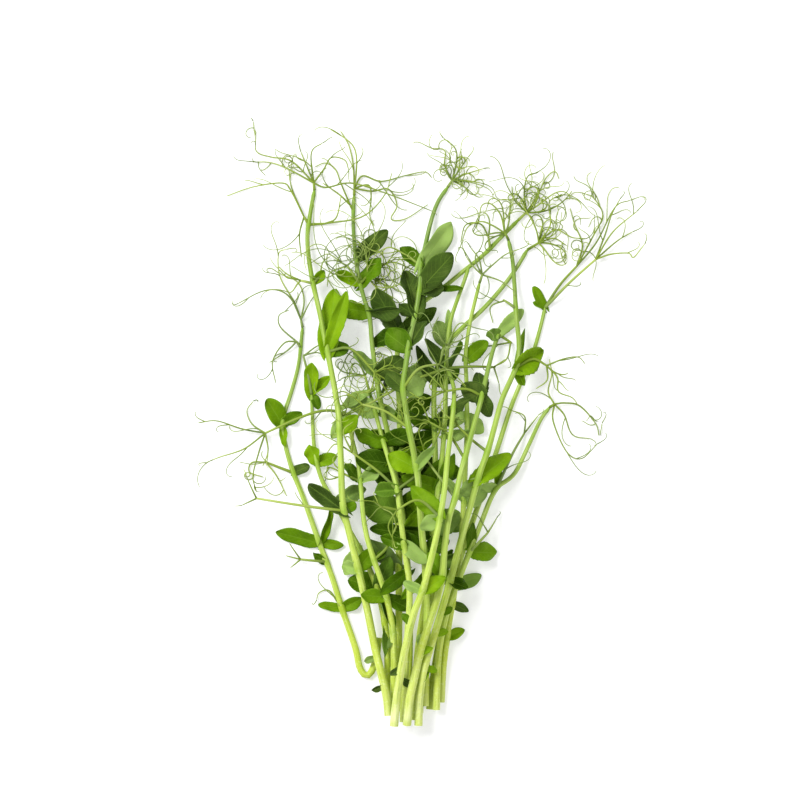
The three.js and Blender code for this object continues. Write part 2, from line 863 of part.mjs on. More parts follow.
// Whether balls lie above the surface and clear of what is placed. With own, the shoot's own pieces
// count too, away from the root.
function clear(balls, shoot, root, own) {
  for (const [p, r] of balls) {
    if (p[2] < r) return false;
    const away = size(sub(p, root)) > ROOT_FREE;
    const c = p.map(cellOf);
    for (let x = c[0] - 1; x <= c[0] + 1; x++)
      for (let y = c[1] - 1; y <= c[1] + 1; y++)
        for (let z = c[2] - 1; z <= c[2] + 1; z++)
          for (const [q, s, other] of cells.get(cellKey(x, y, z)) || []) {
            if (other === shoot && !(own && away)) continue;
            const room = other === shoot ? 0.9 * (r + s) : r + s + GAP;
            if (size(sub(p, q)) < room) return false;
          }
  }
  return true;
}

const ballsAlong = (line, radius) =>
  evenly(line, 1).map((p, i, all) => [p, radius(i / (all.length - 1))]);

// Closed tubes: a ring of corners at each point, and a cap at each end.
function tube(line, radius, sides, steady) {
  const rings = [];
  let side = null;
  line.forEach((p, i) => {
    const along = unit(sub(line[Math.min(i + 1, line.length - 1)], line[Math.max(i - 1, 0)]));
    if (steady || !side) side = unit(cross(Math.abs(along[2]) > 0.95 ? [1, 0, 0] : [0, 0, 1], along));
    else side = unit(sub(side, mul(along, dot(side, along))));
    const up = cross(along, side);
    const ring = [];
    for (let k = 0; k < sides; k++) {
      const a = (2 * Math.PI * k) / sides;
      const out = add(mul(side, -Math.cos(a)), mul(up, Math.sin(a)));
      ring.push(add(p, mul(out, radius(i / (line.length - 1), i))));
    }
    rings.push(ring);
  });
  const corners = rings.flat();
  const faces = [];
  const last = (rings.length - 1) * sides;
  for (let i = 0; i < rings.length - 1; i++)
    for (let k = 0; k < sides; k++) {
      const a = i * sides + k;
      const b = i * sides + ((k + 1) % sides);
      faces.push([a, b + sides, b], [a, a + sides, b + sides]);
    }
  for (let k = 1; k < sides - 1; k++) faces.push([0, k, k + 1], [last, last + k + 1, last + k]);
  return [corners, faces];
}

// Half the width of a leaf over its greatest, from root 0 to tip 1.
const leafHalf = (u) => Math.pow(Math.sin(Math.PI * Math.pow(u, 1.06)), 0.54);

// A leaf from root to the place of its tip seen from above, with its lift, roll and bend.
function leafFrame(root, tip, lift, roll, bend) {
  const ahead = sub(tip, root.slice(0, 2));
  const h = unit(ahead);
  const length = size(ahead) / Math.cos(lift);
  const d = [h[0] * Math.cos(lift), h[1] * Math.cos(lift), Math.sin(lift)];
  const level = [-h[1], h[0], 0];
  const over = cross(d, level);
  const side = add(mul(level, Math.cos(roll)), mul(over, Math.sin(roll)));
  const normal = sub(mul(over, Math.cos(roll)), mul(level, Math.sin(roll)));
  const rib = (u) => add(add(root, mul(d, length * u)), mul(normal, bend * length * u * u));
  return { length, side, normal, rib };
}

function leafBalls(frame, width) {
  const balls = [];
  const rows = Math.ceil(frame.length / 2);
  for (let i = 2; i <= rows; i++) {
    const u = i / rows;
    const half = (width / 2) * leafHalf(Math.min(u, 0.98));
    const across = Math.max(1, Math.ceil(half / 1.8));
    for (let k = -across; k <= across; k++) {
      const s = (half * k) / across;
      const up = mul(frame.normal, LEAF_FOLD * Math.abs(s));
      balls.push([add(add(frame.rib(u), mul(frame.side, s)), up), LEAF_GUARD]);
    }
  }
  return balls;
}

// A closed thin leaf: edges that both faces share, and a midrib that stands off them both ways.
function leafSolid(frame, width) {
  const corners = [frame.rib(0)];
  for (const u of LEAF_ROWS) {
    const half = (width / 2) * leafHalf(u);
    const rib = frame.rib(u);
    const up = mul(frame.normal, LEAF_FOLD * half);
    corners.push(add(sub(rib, mul(frame.side, half)), up), add(add(rib, mul(frame.side, half)), up));
    corners.push(add(rib, mul(frame.normal, LEAF_HALF)), sub(rib, mul(frame.normal, LEAF_HALF)));
  }
  corners.push(frame.rib(1));
  const tip = corners.length - 1;
  const faces = [];
  const skin = (rib, flip) => {
    const face = (a, b, c) => faces.push(flip ? [a, c, b] : [a, b, c]);
    face(0, rib, 1);
    face(0, 2, rib);
    for (let i = 0; i < LEAF_ROWS.length - 1; i++) {
      const [left, right, mid] = [1 + 4 * i, 2 + 4 * i, rib + 4 * i];
      face(left, mid, mid + 4);
      face(left, mid + 4, left + 4);
      face(mid, right, right + 4);
      face(mid, right + 4, mid + 4);
    }
    const end = 4 * (LEAF_ROWS.length - 1);
    face(1 + end, rib + end, tip);
    face(rib + end, 2 + end, tip);
  };
  skin(3, true);
  skin(4, false);
  return [corners, faces];
}

// A line with its height over the surface: from z it rises by rise and arches between its ends.
function raise(plan, z, rise, arch, least) {
  return plan.map((p, i) => {
    const t = i / (plan.length - 1);
    return [p[0], p[1], Math.max(least, z + rise * t + arch * 4 * t * (1 - t))];
  });
}

// The plan of a tendril that grows by rule: nearly straight at first, and hooked at its end.
function hookPlan(root, heading, length, sway, hook) {
  const n = 14;
  const plan = [root.slice(0, 2)];
  for (let i = 0; i < n; i++) {
    const t = (i + 0.5) / n;
    const a = heading + sway * t + hook * t * t * t * t;
    plan.push(add(plan.at(-1), [(length / n) * Math.cos(a), (length / n) * Math.sin(a)]));
  }
  return plan;
}

// Lays a stem over those before it: as low as its bow and they allow, with no arc tighter than BEND_R.
const laid = [];
function layStem(shoot, index) {
  const plan = smoothLine(shoot.route, SPACING);
  const flat = (t) => STEM_FLAT * shoot.girth * (1 - STEM_TAPER * t);
  const last = plan.length - 1;
  const need = plan.map((p, i) => {
    const t = i / last;
    const r = flat(t) * CORNER;
    let z = flat(t) + shoot.crest * Math.pow(Math.sin(Math.PI * t), 2);
    for (const [q, s] of laid) {
      const reach = r + s + GAP;
      const d = Math.hypot(p[0] - q[0], p[1] - q[1]);
      if (d < reach) z = Math.max(z, q[2] + Math.sqrt(reach * reach - d * d));
    }
    return z;
  });
  const line = plan.map((p, i) => {
    const z = need.map((v, j) => v - (SPACING * (i - j)) ** 2 / (2 * BEND_R));
    return [p[0], p[1], Math.max(...z)];
  });
  line.forEach((p, i) => laid.push([p, flat(i / last) * CORNER]));
  const kept = facets(line, STEM_STEP, STEM_TURN);
  const along = evenly(kept.map((i) => line[i]), SPACING);
  place(along.map((p, i) => [p, flat(i / (along.length - 1)) * CORNER]), index);
  const corner = (t, i) => flat(kept[i] / last) * CORNER;
  const solid = tube(kept.map((i) => line[i]), corner, STEM_SIDES, true);
  return { line, flat, solid };
}

const nearest = (line, at) => {
  const far = line.map((p) => Math.hypot(p[0] - at[0], p[1] - at[1]));
  return far.indexOf(Math.min(...far));
};

// Tries make(draw, attempt) until the balls it gives are clear.
function settle(seed, shoot, root, make) {
  const draw = stream(seed);
  for (let attempt = 0; attempt < TRIES; attempt++) {
    const made = make(draw, attempt / TRIES);
    if (clear(made.balls, shoot, root, attempt < TRIES / 2)) {
      place(made.balls, shoot);
      return made;
    }
  }
  return null;
}

// A place seen from above, turned about a root.
function swing(root, tip, a) {
  const [x, y] = sub(tip, root.slice(0, 2));
  return [root[0] + x * Math.cos(a) - y * Math.sin(a), root[1] + x * Math.sin(a) + y * Math.cos(a)];
}

// A leaf grows out a little under the line of its stem, so its lift starts from the stem's own climb.
// way is the direction of the stem at the joint.
function growLeaf(seed, shoot, root, way, tip, width) {
  const plan = way.slice(0, 2);
  const ahead = unit(sub(tip, root.slice(0, 2)));
  const climb = Math.atan2(way[2] * dot(ahead, plan), dot(plan, plan));
  return settle(seed, shoot, root, (draw, late) => {
    const lift = climb + radians(draw(-26 - 20 * late, -12 + 62 * late));
    const roll = radians(draw(-14 - 62 * late, 14 + 62 * late));
    const swung = swing(root, tip, radians(draw(-35, 35) * late));
    const frame = leafFrame(root, swung, lift, roll, draw(-0.16, 0.08));
    const wide = width * (1 - 0.55 * late);
    return { kind: "leaf", frame, wide, balls: leafBalls(frame, wide), solid: leafSolid(frame, wide) };
  });
}

function growLine(seed, shoot, root, kind, planOf) {
  const [radii, step, turn] =
    kind === "stalk" ? [STALK_R, STALK_STEP, STALK_TURN] : [TENDRIL_R, TENDRIL_STEP, TENDRIL_TURN];
  const radius = (t) => radii[0] + (radii[1] - radii[0]) * t;
  return settle(seed, shoot, root, (draw, late) => {
    const rise = draw(-0.6 - 0.4 * late, 0.25 + 1.2 * late) * Math.max(root[2], 8);
    const line = raise(planOf(draw), root[2], rise, draw(-1 - 4 * late, 3 + 8 * late), radius(0) + 0.2);
    const kept = facets(line, step, turn).map((i) => line[i]);
    const solid = tube(kept, radius, 3, false);
    return { kind, line, balls: ballsAlong(kept, radius).slice(1), solid };
  });
}

function growFan(seed, shoot, root, fan) {
  const route = smoothLine([root.slice(0, 2), ...fan.stalk], SPACING);
  const stalk = growLine(seed, shoot, root, "stalk", () => route);
  if (!stalk) return [];
  const end = mix(stalk.line.at(-1), stalk.line.at(-2), 0.35);
  const ahead = sub(stalk.line.at(-1), stalk.line.at(-2));
  const out = [stalk];
  fan.lines.forEach((points, k) => {
    const plan = smoothLine([end.slice(0, 2), ...points], 1);
    out.push(growLine(seed + 20 + k, shoot, end, "tendril", () => plan));
  });
  for (let k = 0; k < (fan.more || 0); k++)
    out.push(
      growLine(seed + 60 + k, shoot, end, "tendril", (draw) => {
        const a = Math.atan2(ahead[1], ahead[0]) + radians(draw(-85, 85));
        return hookPlan(end, a, fan.reach * draw(0.55, 1), draw(-1.2, 1.2), draw(-5, 5));
      }),
    );
  return out;
}

// Grows what joints carry: all their fans, or all their leaves, which fit themselves in after the fans.
function growJoints(shoot, index, grow) {
  const { line, flat } = stems[index];
  return shoot.joints.flatMap((joint, j) => {
    const i = nearest(line, joint.at);
    const way = sub(line[Math.min(i + 1, line.length - 1)], line[i - 1]);
    const node = { root: line[i], way, half: flat(i / (line.length - 1)) };
    return grow(joint, node, 1000 * (index + 1) + 100 * j);
  });
}

const stems = SHOOTS.map(layStem);
const fans = SHOOTS.map((shoot, index) =>
  growJoints(shoot, index, (joint, { root }, seed) =>
    (joint.fans || []).flatMap((fan, k) => growFan(seed + 33 * k + 7, index, root, fan)),
  ),
);
const leaves = SHOOTS.map((shoot, index) =>
  growJoints(shoot, index, (joint, { root, way, half }, seed) => {
    const low = sub(root, [0, 0, LEAF_LOW * half]);
    return (joint.leaves || []).map(([x, y, width], k) =>
      growLeaf(seed + k, index, low, way, [x, y], width),
    );
  }),
);

const wasm = await Module();
wasm.setup();

function toSolid([corners, faces]) {
  const vertProperties = new Float32Array(corners.flat());
  const triVerts = new Uint32Array(faces.flat());
  return new wasm.Manifold(new wasm.Mesh({ numProp: 3, vertProperties, triVerts }));
}

// Three.js geometry of a shoot's largest body, with its vertices merged.
function toGeometry(solid) {
  const bodies = solid.decompose().sort((a, b) => b.volume() - a.volume());
  const made = bodies[0].getMesh();
  const geometry = new THREE.BufferGeometry();
  geometry.setAttribute("position", new THREE.BufferAttribute(made.vertProperties, 3));
  geometry.setIndex(new THREE.BufferAttribute(made.triVerts, 1));
  return mergeVertices(geometry, 1e-4);
}

const bunch = new THREE.Group();
SHOOTS.forEach((shoot, i) => {
  const pieces = [...fans[i], ...leaves[i]].filter(Boolean);
  let solid = toSolid(stems[i].solid);
  for (const piece of pieces) solid = solid.add(toSolid(piece.solid));
  const material = new THREE.MeshStandardMaterial({
    color: new THREE.Color(STEM_GREEN).lerp(new THREE.Color(LEAF_GREEN), 0.6),
    roughness: 0.55,
    metalness: 0,
  });
  const mesh = new THREE.Mesh(toGeometry(solid), material);
  mesh.name = shoot.name;
  bunch.add(mesh);
});

export default bunch;
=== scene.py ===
# %% [markdown]
# # A loose bunch of cut pea shoots
# Pea shoots are the young stems of a pea plant. This kind carries few leaflets: a leaf stalk ends in
# branching tendrils, and what looks like a leaf at each joint of the stem is a stipule, one of a pair
# that clasps it. A bunch could be scattered from a few copies, or scanned. Here each shoot is drawn on
# its own from a short table of places, because no two shoots of a real bunch look alike.

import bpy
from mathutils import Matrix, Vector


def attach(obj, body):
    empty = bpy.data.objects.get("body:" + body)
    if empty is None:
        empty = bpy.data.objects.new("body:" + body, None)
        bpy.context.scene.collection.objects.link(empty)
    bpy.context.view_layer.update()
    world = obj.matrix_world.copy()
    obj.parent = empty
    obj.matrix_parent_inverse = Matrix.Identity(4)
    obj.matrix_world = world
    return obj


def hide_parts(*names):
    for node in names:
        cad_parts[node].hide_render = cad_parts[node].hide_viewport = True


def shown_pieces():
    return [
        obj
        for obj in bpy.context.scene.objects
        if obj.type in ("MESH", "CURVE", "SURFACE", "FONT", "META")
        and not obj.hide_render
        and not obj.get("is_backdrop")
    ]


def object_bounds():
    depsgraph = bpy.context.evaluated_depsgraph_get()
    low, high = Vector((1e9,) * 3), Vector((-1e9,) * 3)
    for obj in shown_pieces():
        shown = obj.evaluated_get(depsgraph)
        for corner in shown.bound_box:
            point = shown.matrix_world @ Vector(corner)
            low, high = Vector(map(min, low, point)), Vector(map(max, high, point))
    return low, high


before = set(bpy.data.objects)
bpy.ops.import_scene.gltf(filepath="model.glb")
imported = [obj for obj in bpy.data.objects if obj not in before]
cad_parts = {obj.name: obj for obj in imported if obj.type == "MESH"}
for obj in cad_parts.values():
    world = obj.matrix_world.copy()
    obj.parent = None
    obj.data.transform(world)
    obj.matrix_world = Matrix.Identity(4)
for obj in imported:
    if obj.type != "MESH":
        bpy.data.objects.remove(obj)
solids_low, solids_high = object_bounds()
box_mm = [round(1000 * (high - low)) for low, high in zip(solids_low, solids_high)]
print("solids:", len(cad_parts), "box in mm:", box_mm)

# %% [markdown]
# ## Tools
# Blender makes the meshes and finishes. numpy works on all the places of a line at once, which keeps
# the script short and quick. All the lengths below are in millimetres until a mesh is made.

# %% Tools
import math

import bpy
import numpy as np
from mathutils import Vector

MM = 0.001

# %% [markdown]
# ## The camera
# The bunch is seen square on, so it lies on a table and the camera looks straight down from above its
# middle. A long lens far away keeps the tips and the table at nearly one scale, as in a pack shot.

# %% Camera
VIEW_MIDDLE = (-8.4, 9.6)
VIEW_WIDTH = 320
VIEW_HEIGHT = 1500
MID_BUNCH = 10  # the height over the table where a millimetre is drawn true to size
SENSOR = 36
lens = bpy.data.cameras.new("overhead")
lens.sensor_width = SENSOR
lens.lens = SENSOR * (VIEW_HEIGHT - MID_BUNCH) / VIEW_WIDTH
lens.clip_start = 0.05
overhead = bpy.data.objects.new("overhead", lens)
overhead.location = (VIEW_MIDDLE[0] * MM, VIEW_MIDDLE[1] * MM, VIEW_HEIGHT * MM)
bpy.context.scene.collection.objects.link(overhead)
bpy.context.scene.camera = overhead
print("lens of", round(lens.lens), "mm")

# %% [markdown]
# ## The sizes of a pea shoot
# These sizes are the ones that the solids were made from, because the finer model grows the same way
# and has to lie on them. A stem is about 4 mm thick at its cut end and half that at its tip. Tendrils
# are about a millimetre.

# %% Sizes
STEM_FLAT = 1.5  # from the axis to a flat side, at the cut end
STEM_TAPER = 0.52  # share of that lost at the tip
CORNER = 1 / math.cos(math.pi / 6)
STEM_STEP, STEM_TURN = 16, 12  # a solid's tube bends at each step, or where it has turned so much
BEND_R = 80  # tightest arc of a stem that climbs over another
GAP = 0.4  # least space between two shoots
LEAF_LOW = 0.45  # how far a leaf's root is under the stem's axis, per half stem
LEAF_FOLD = 0.22  # rise of a leaf's edges over its midrib, per half width
LEAF_GUARD = 0.75  # radius of the balls that keep a leaf's place
STALK_R = (0.75, 0.6)  # radius at the root and at the tip
TENDRIL_R = (0.55, 0.45)
STALK_STEP, STALK_TURN = 12, 28
TENDRIL_STEP, TENDRIL_TURN = 11, 46
ROOT_FREE = 5  # nearer to its root than this, a piece may touch its own shoot
SPACING = 2  # between the places along a stem
TRIES = 320

# %% [markdown]
# ## Where each shoot goes
# A route runs from the cut end to the tip, seen from above. crest is how high the shoot bows off the
# table, and girth is its thickness against the usual one. At each joint, a leaf is [tip x, tip y,
# width], and a fan is a leaf stalk with the tendrils at its end: the large ones by their places, and
# some more by a rule. A spline drawn by hand would do too, but a table can be read and changed in one
# place.

# %% The shoots
SHOOTS = [
    {
        "name": "shoot_far_left", "crest": 0, "girth": 0.92,
        "route": [
            [-17, -86], [-18, -94], [-19.6, -99.2], [-22, -101.4], [-24.6, -98], [-26.4, -90],
            [-31.6, -74.8], [-35.6, -62], [-40.8, -48], [-47.2, -30], [-51.6, -18.8], [-54.6, -8],
            [-55.6, 1.2], [-52, 13.2], [-49.2, 24], [-47.6, 38.8],
        ],
        "joints": [
            {"at": [-31.6, -74.8], "leaves": [[-41.6, -74.4, 4.5], [-22.8, -70.8, 6.5]], "fans": [
                {"stalk": [[-34, -71]], "lines": [[[-37, -67], [-41, -68], [-42, -71]]]},
            ]},
            {"at": [-37.4, -56], "leaves": [[-43.8, -53, 5]], "fans": [
                {"stalk": [[-49, -54.4]], "lines": [[[-52.8, -48]], [[-54.5, -53]], [[-52.6, -58]]]},
            ]},
            {"at": [-40.8, -48], "leaves": [[-56.8, -39, 8.4], [-34.6, -34, 6.5], [-31, -49, 5]]},
            {"at": [-51.6, -19.2], "leaves": [[-44.4, -17.4, 5.6]], "fans": [
                {"stalk": [[-63, -15.2]], "lines": [
                    [[-68, -15.6], [-69, -19.4], [-63.4, -21.4]], [[-58, -21], [-54, -29.2]],
                ]},
            ]},
            {"at": [-55.6, -1], "leaves": [[-62.4, 10, 9.6], [-48.6, 5.8, 6], [-52, -8.4, 5]]},
            {"at": [-48.2, 31.5], "fans": [
                {"stalk": [[-50.4, 33.6]], "lines": [
                    [[-56.4, 38.8], [-57, 43.6], [-52.8, 45.8]],
                    [[-55, 32.4], [-59.6, 25], [-58.4, 16.4]], [[-53.6, 29.6], [-61, 24.6]],
                ]},
            ]},
            {"at": [-47.6, 38.8], "fans": [
                {"stalk": [[-48.4, 42.6]], "lines": [
                    [[-52, 50], [-57, 53.6], [-64, 53.2], [-73.6, 48.4]],
                    [[-47, 50], [-49.6, 57], [-56.6, 60.4]],
                    [[-51, 49], [-56.6, 59], [-57.2, 68.4], [-54, 70.2]], [[-44.4, 49.4]],
                ]},
            ]},
        ],
    },
    {
        "name": "shoot_far_right", "crest": 0, "girth": 0.95,
        "route": [
            [3.6, -114.8], [5, -102], [9, -80], [16, -54], [24, -30], [30.8, -10], [36, 6], [40.8, 18],
            [45.6, 30], [48.4, 40], [50, 46.8],
        ],
        "joints": [
            {"at": [13, -65], "leaves": [[24, -60, 7], [3, -57, 7]]},
            {"at": [50, 46.8], "leaves": [[46.4, 56, 5.4], [45, 48.4, 4]], "fans": [
                {"stalk": [[56, 56], [63.2, 64]], "lines": [
                    [[65, 72], [62, 80], [60, 87]], [[69, 75], [73.2, 84], [69.4, 91], [66, 92.6]],
                    [[70.6, 73], [78, 87], [84.4, 90]],
                ]},
                {"stalk": [[60, 57], [70.8, 66.6]], "lines": [
                    [[74, 76], [76.6, 84], [80, 90.4]], [[77, 77], [87, 85.6]],
                    [[79, 73.6], [85.4, 77.4]], [[76.4, 68.2], [83.6, 68.6], [85.4, 66.8], [90, 72.4]],
                ]},
            ]},
        ],
    },
    {
        "name": "shoot_cross", "crest": 2, "girth": 1,
        "route": [
            [-9.4, -115.6], [-9.2, -106], [-9, -90], [-8.8, -70], [-8.8, -50], [-8.6, -30], [-8.4, -10],
            [-8.8, 10], [-9.6, 26], [-7.6, 38], [-0.6, 47.6], [8, 54], [16.8, 61.2], [24.8, 67.6],
            [32, 74.8], [39.2, 82],
        ],
        "joints": [
            {"at": [-8.8, -72], "leaves": [[-21, -75, 10], [4, -66, 11]]},
            {"at": [-8.8, -58], "leaves": [[-24, -50, 12], [5, -47, 12]]},
            {"at": [-8.6, -36], "leaves": [[-24, -31, 12.5], [7, -28, 12]]},
            {"at": [-8.5, -24], "leaves": [[-21, -17, 9], [5, -13, 9]]},
            {"at": [-8.4, -12], "leaves": [[-23, -5, 11], [6, -3, 10]]},
            {"at": [-8.6, 2], "leaves": [[-20, 9, 10], [4, 11, 10]]},
            {"at": [-9, 14], "leaves": [[-24, 20, 12], [5, 24, 11]]},
            {"at": [-8, 37], "leaves": [[-17, 55, 13], [-20, 33, 9], [4, 49, 9]]},
            {"at": [8, 54], "leaves": [[16.4, 51, 6]]},
            {"at": [28, 70.6], "fans": [
                {"stalk": [[27, 76]], "lines": [
                    [[24, 80.4], [18, 80], [16, 73]],
                ], "more": 1, "reach": 16},
            ]},
            {"at": [39.2, 82], "fans": [
                {"stalk": [[43, 85.6]], "lines": [
                    [[47, 92], [50.4, 99], [54, 101.6], [55.6, 98.4]],
                    [[41.6, 93], [43, 99.6], [47.2, 101]], [[37.6, 90], [36.6, 95.8]],
                ], "more": 5, "reach": 24},
            ]},
        ],
    },
    {
        "name": "shoot_tower", "crest": 5, "girth": 0.95,
        "route": [
            [-5.2, -117.2], [-5, -106], [-4.6, -90], [-4.6, -74], [-5.6, -54], [-7.2, -38], [-10, -22],
            [-12.8, -6], [-16, 8], [-18, 20], [-19.6, 32], [-20.6, 42.8], [-23, 51], [-24.8, 58],
            [-26, 66], [-27, 76], [-27.2, 85], [-26.8, 92],
        ],
        "joints": [
            {"at": [-5.4, -60], "leaves": [[-19, -65, 11], [8, -52, 10]]},
            {"at": [-6.5, -44], "leaves": [[-20, -39, 11], [7, -36, 10]]},
            {"at": [-11, -16], "leaves": [[-26, -12, 11], [2, -9, 10]]},
            {"at": [-16.8, 12], "leaves": [[-28, 16, 10], [-8, 17, 9]]},
            {"at": [-18, 20], "leaves": [[-29, 27, 9], [-9, 29, 11]]},
            {"at": [-21, 45], "leaves": [[-33, 47, 8], [-10, 52, 13]]},
            {"at": [-24.6, 57], "leaves": [[-33.4, 62.4, 7], [-15, 66, 10]], "fans": [
                {"stalk": [[-30, 64]], "lines": [[[-36.4, 60.6], [-37.6, 55]]], "more": 2, "reach": 16},
                {"stalk": [[-21, 60]], "lines": [
                    [[-12, 65], [-3, 62]], [[-18, 55], [-10, 50]],
                ], "more": 4, "reach": 18},
            ]},
            {"at": [-26, 67], "leaves": [[-12.4, 77, 10]]},
            {"at": [-27.2, 86], "fans": [
                {"stalk": [[-28.8, 88.6]], "lines": [
                    [[-33, 92.4], [-39.6, 97]],
                    [[-32, 96.4], [-34.4, 102.4], [-38.4, 105], [-42.6, 103.4]],
                ]},
            ]},
            {"at": [-26.8, 92], "fans": [
                {"stalk": [[-26.8, 95.4]], "lines": [
                    [[-27.2, 104], [-29, 112], [-32.4, 118]],
                    [[-25.8, 104], [-26.6, 110.4], [-30, 114.4], [-36.4, 118.4]],
                    [[-23.4, 99.8], [-16, 97.6], [-6, 100], [1.6, 101.4], [4.4, 99]],
                    [[-21, 96], [-20, 91], [-20.6, 84], [-18.8, 79.6]],
                    [[-19.6, 93.6], [-13, 94.4], [-9.6, 88], [-12, 82.4], [-6, 82.6], [3, 88.4]],
                ]},
            ]},
        ],
    },
    {
        "name": "shoot_upper_right", "crest": 4, "girth": 1,
        "route": [
            [-0.6, -116.4], [-0.2, -106], [1.4, -90], [4.4, -70], [6.2, -54], [6.4, -38], [6, -22],
            [5.6, -6], [5.2, 10], [6.4, 22], [10.4, 32], [16.8, 38.8], [24.8, 46], [32, 54], [38, 62],
            [42.8, 70],
        ],
        "joints": [
            {"at": [5.2, -62], "leaves": [[-8, -56, 9], [17, -54, 8]]},
            {"at": [6.3, -36], "leaves": [[-7, -30, 10], [17, -42, 9]]},
            {"at": [6, -20], "leaves": [[-6, -16, 8], [16, -18, 8]]},
            {"at": [5.4, 0], "leaves": [[-9, 6, 9], [17, 8, 8]]},
            {"at": [5.8, 17], "leaves": [[1.6, 33, 9], [15.6, 22, 6]]},
            {"at": [10.4, 32], "leaves": [[6.2, 41, 7.5], [16, 45, 4.5]]},
            {"at": [42.8, 70], "fans": [
                {"stalk": [[48, 73.2]], "lines": [
                    [[54, 78], [60.6, 75], [66.6, 74.4]], [[53.6, 74.6], [58.6, 71.8]],
                    [[52, 80], [51.6, 89], [57, 92.6]],
                ], "more": 5, "reach": 22},
            ]},
        ],
    },
    {
        "name": "shoot_back_right", "crest": 6, "girth": 0.9,
        "route": [
            [8.2, -112], [9, -98], [11, -82], [13.6, -66], [15.8, -50], [17, -34], [17.8, -18],
            [18.4, -2], [18.4, 14], [18, 28], [19.6, 40], [21.6, 48.8], [23.6, 56.8],
        ],
        "joints": [
            {"at": [10.4, -86], "leaves": [[17.6, -82.6, 4.5]]},
            {"at": [12.4, -73], "leaves": [[19.4, -75.6, 3.6]]},
            {"at": [17.2, -31], "leaves": [[7, -24, 8], [27, -27, 7]]},
            {"at": [18.3, 4], "leaves": [[10, 1, 8], [24.6, -4, 6.5]]},
            {"at": [18, 26], "leaves": [[27.6, 32.4, 7]]},
            {"at": [23.6, 56.8], "fans": [
                {"stalk": [[24.8, 60.6]], "lines": [
                    [[29, 64], [34, 68], [40, 70.4]], [[23.4, 66], [20, 71]], [[32, 57.4], [37, 53.6]],
                ], "more": 2, "reach": 18},
            ]},
        ],
    },
    {
        "name": "shoot_inner_left", "crest": 3, "girth": 0.9,
        "route": [
            [-13.4, -110], [-13.4, -102], [-13.8, -86], [-16.6, -70], [-21.6, -56], [-28, -44],
            [-34.4, -32], [-40, -22], [-42.8, -10], [-43.6, 2], [-44, 12],
        ],
        "joints": [
            {"at": [-14.6, -80], "leaves": [[-17, -93, 4.5]]},
            {"at": [-17.4, -67], "leaves": [[-29, -62, 10], [-8, -56, 10]]},
            {"at": [-24.6, -50], "leaves": [[-29.8, -61, 6.5], [-14, -41, 11]]},
            {"at": [-34.4, -32], "leaves": [[-22, -26, 9]]},
            {"at": [-41.4, -16], "leaves": [[-45.6, -8.6, 8.6], [-33.4, -13.6, 6]]},
            {"at": [-44, 12], "leaves": [[-47, 24.6, 8.6], [-38.4, 21, 6], [-39.8, 6.6, 5]], "fans": [
                {"stalk": [[-45.2, 19], [-47.4, 28]], "lines": [
                    [[-41, 31.6], [-37.6, 29.6]],
                ], "more": 1, "reach": 12},
            ]},
        ],
    },
    {
        "name": "shoot_back_centre", "crest": 8, "girth": 0.95,
        "route": [
            [-2.6, -118.8], [-2.4, -106], [-0.6, -86], [2.4, -66], [4.4, -46], [6.4, -30], [8.4, -14],
            [9.6, 2], [10, 16], [10.4, 28], [11.6, 40], [14.4, 49.2], [17.2, 56.8], [19.2, 62.8],
        ],
        "joints": [
            {"at": [3, -60], "leaves": [[-10, -68, 9], [15, -50, 9]]},
            {"at": [4.6, -44], "leaves": [[-8, -39, 10], [15, -36, 9]]},
            {"at": [7, -25], "leaves": [[-6, -18, 10], [17, -14, 9]]},
            {"at": [8, -16], "leaves": [[-1, -24, 8]]},
            {"at": [9.2, -4], "leaves": [[20, 0.4, 8.4], [2, 4, 7]]},
            {"at": [10.2, 22], "leaves": [[-2, 30, 9], [20, 30, 7]]},
            {"at": [19.2, 62.8], "fans": [
                {"stalk": [[20.2, 67]], "lines": [
                    [[21.6, 76], [20.8, 84.4]], [[16, 72], [16.6, 79], [20, 83]], [[26, 71], [28, 77]],
                ], "more": 2, "reach": 16},
            ]},
        ],
    },
    {
        "name": "shoot_centre", "crest": 16, "girth": 1.04,
        "route": [
            [1.6, -113.2], [1.8, -102], [2.2, -90], [2.4, -78], [2, -66], [1.6, -56], [0.4, -44],
            [-0.4, -34], [-1.2, -22], [-2.8, -12], [-4.8, -2], [-6.4, 8], [-7.2, 14.8], [-6, 24],
            [-4.4, 34], [-2, 45.2], [-0.4, 56], [-0.2, 62.8], [1.6, 70.8], [4, 81.2], [6.8, 89.2],
            [10.8, 95.2],
        ],
        "joints": [
            {"at": [1.2, -52], "leaves": [[-11, -44, 8], [11, -46, 7]]},
            {"at": [-2, -18], "leaves": [[-13, -12, 8], [9, -12, 8]]},
            {"at": [-4.8, -2], "fans": [
                {"stalk": [[-14, 5], [-24, 8]], "lines": [
                    [[-31, 13], [-36, 10]], [[-30, 4], [-36, 0]],
                ], "more": 2, "reach": 14},
            ]},
            {"at": [-7.2, 14.8], "leaves": [[-14, 20.4, 6.5], [2.4, 15.4, 9]], "fans": [
                {"stalk": [[-1, 22], [8, 24]], "lines": [
                    [[15, 28], [20, 25]], [[13, 20], [18, 15]],
                ], "more": 2, "reach": 12},
            ]},
            {"at": [-5, 30], "leaves": [[-14.6, 37, 9], [4, 40, 10]]},
            {"at": [-2, 44], "leaves": [[-7, 62, 13], [-10, 46, 8]]},
            {"at": [-0.6, 53], "leaves": [[11, 70, 11], [9, 54, 9]]},
            {"at": [-0.2, 63], "leaves": [[12.4, 81.2, 11], [-8, 71, 6]], "fans": [
                {"stalk": [[-6, 68]], "lines": [[[-13, 71], [-17, 67]]]},
            ]},
            {"at": [10.8, 95.2], "fans": [
                {"stalk": [[13, 98.6]], "lines": [
                    [[18, 100.4], [25.2, 102.8]], [[17, 98], [24.4, 96.8]], [[17.4, 95.4], [20, 93.4]],
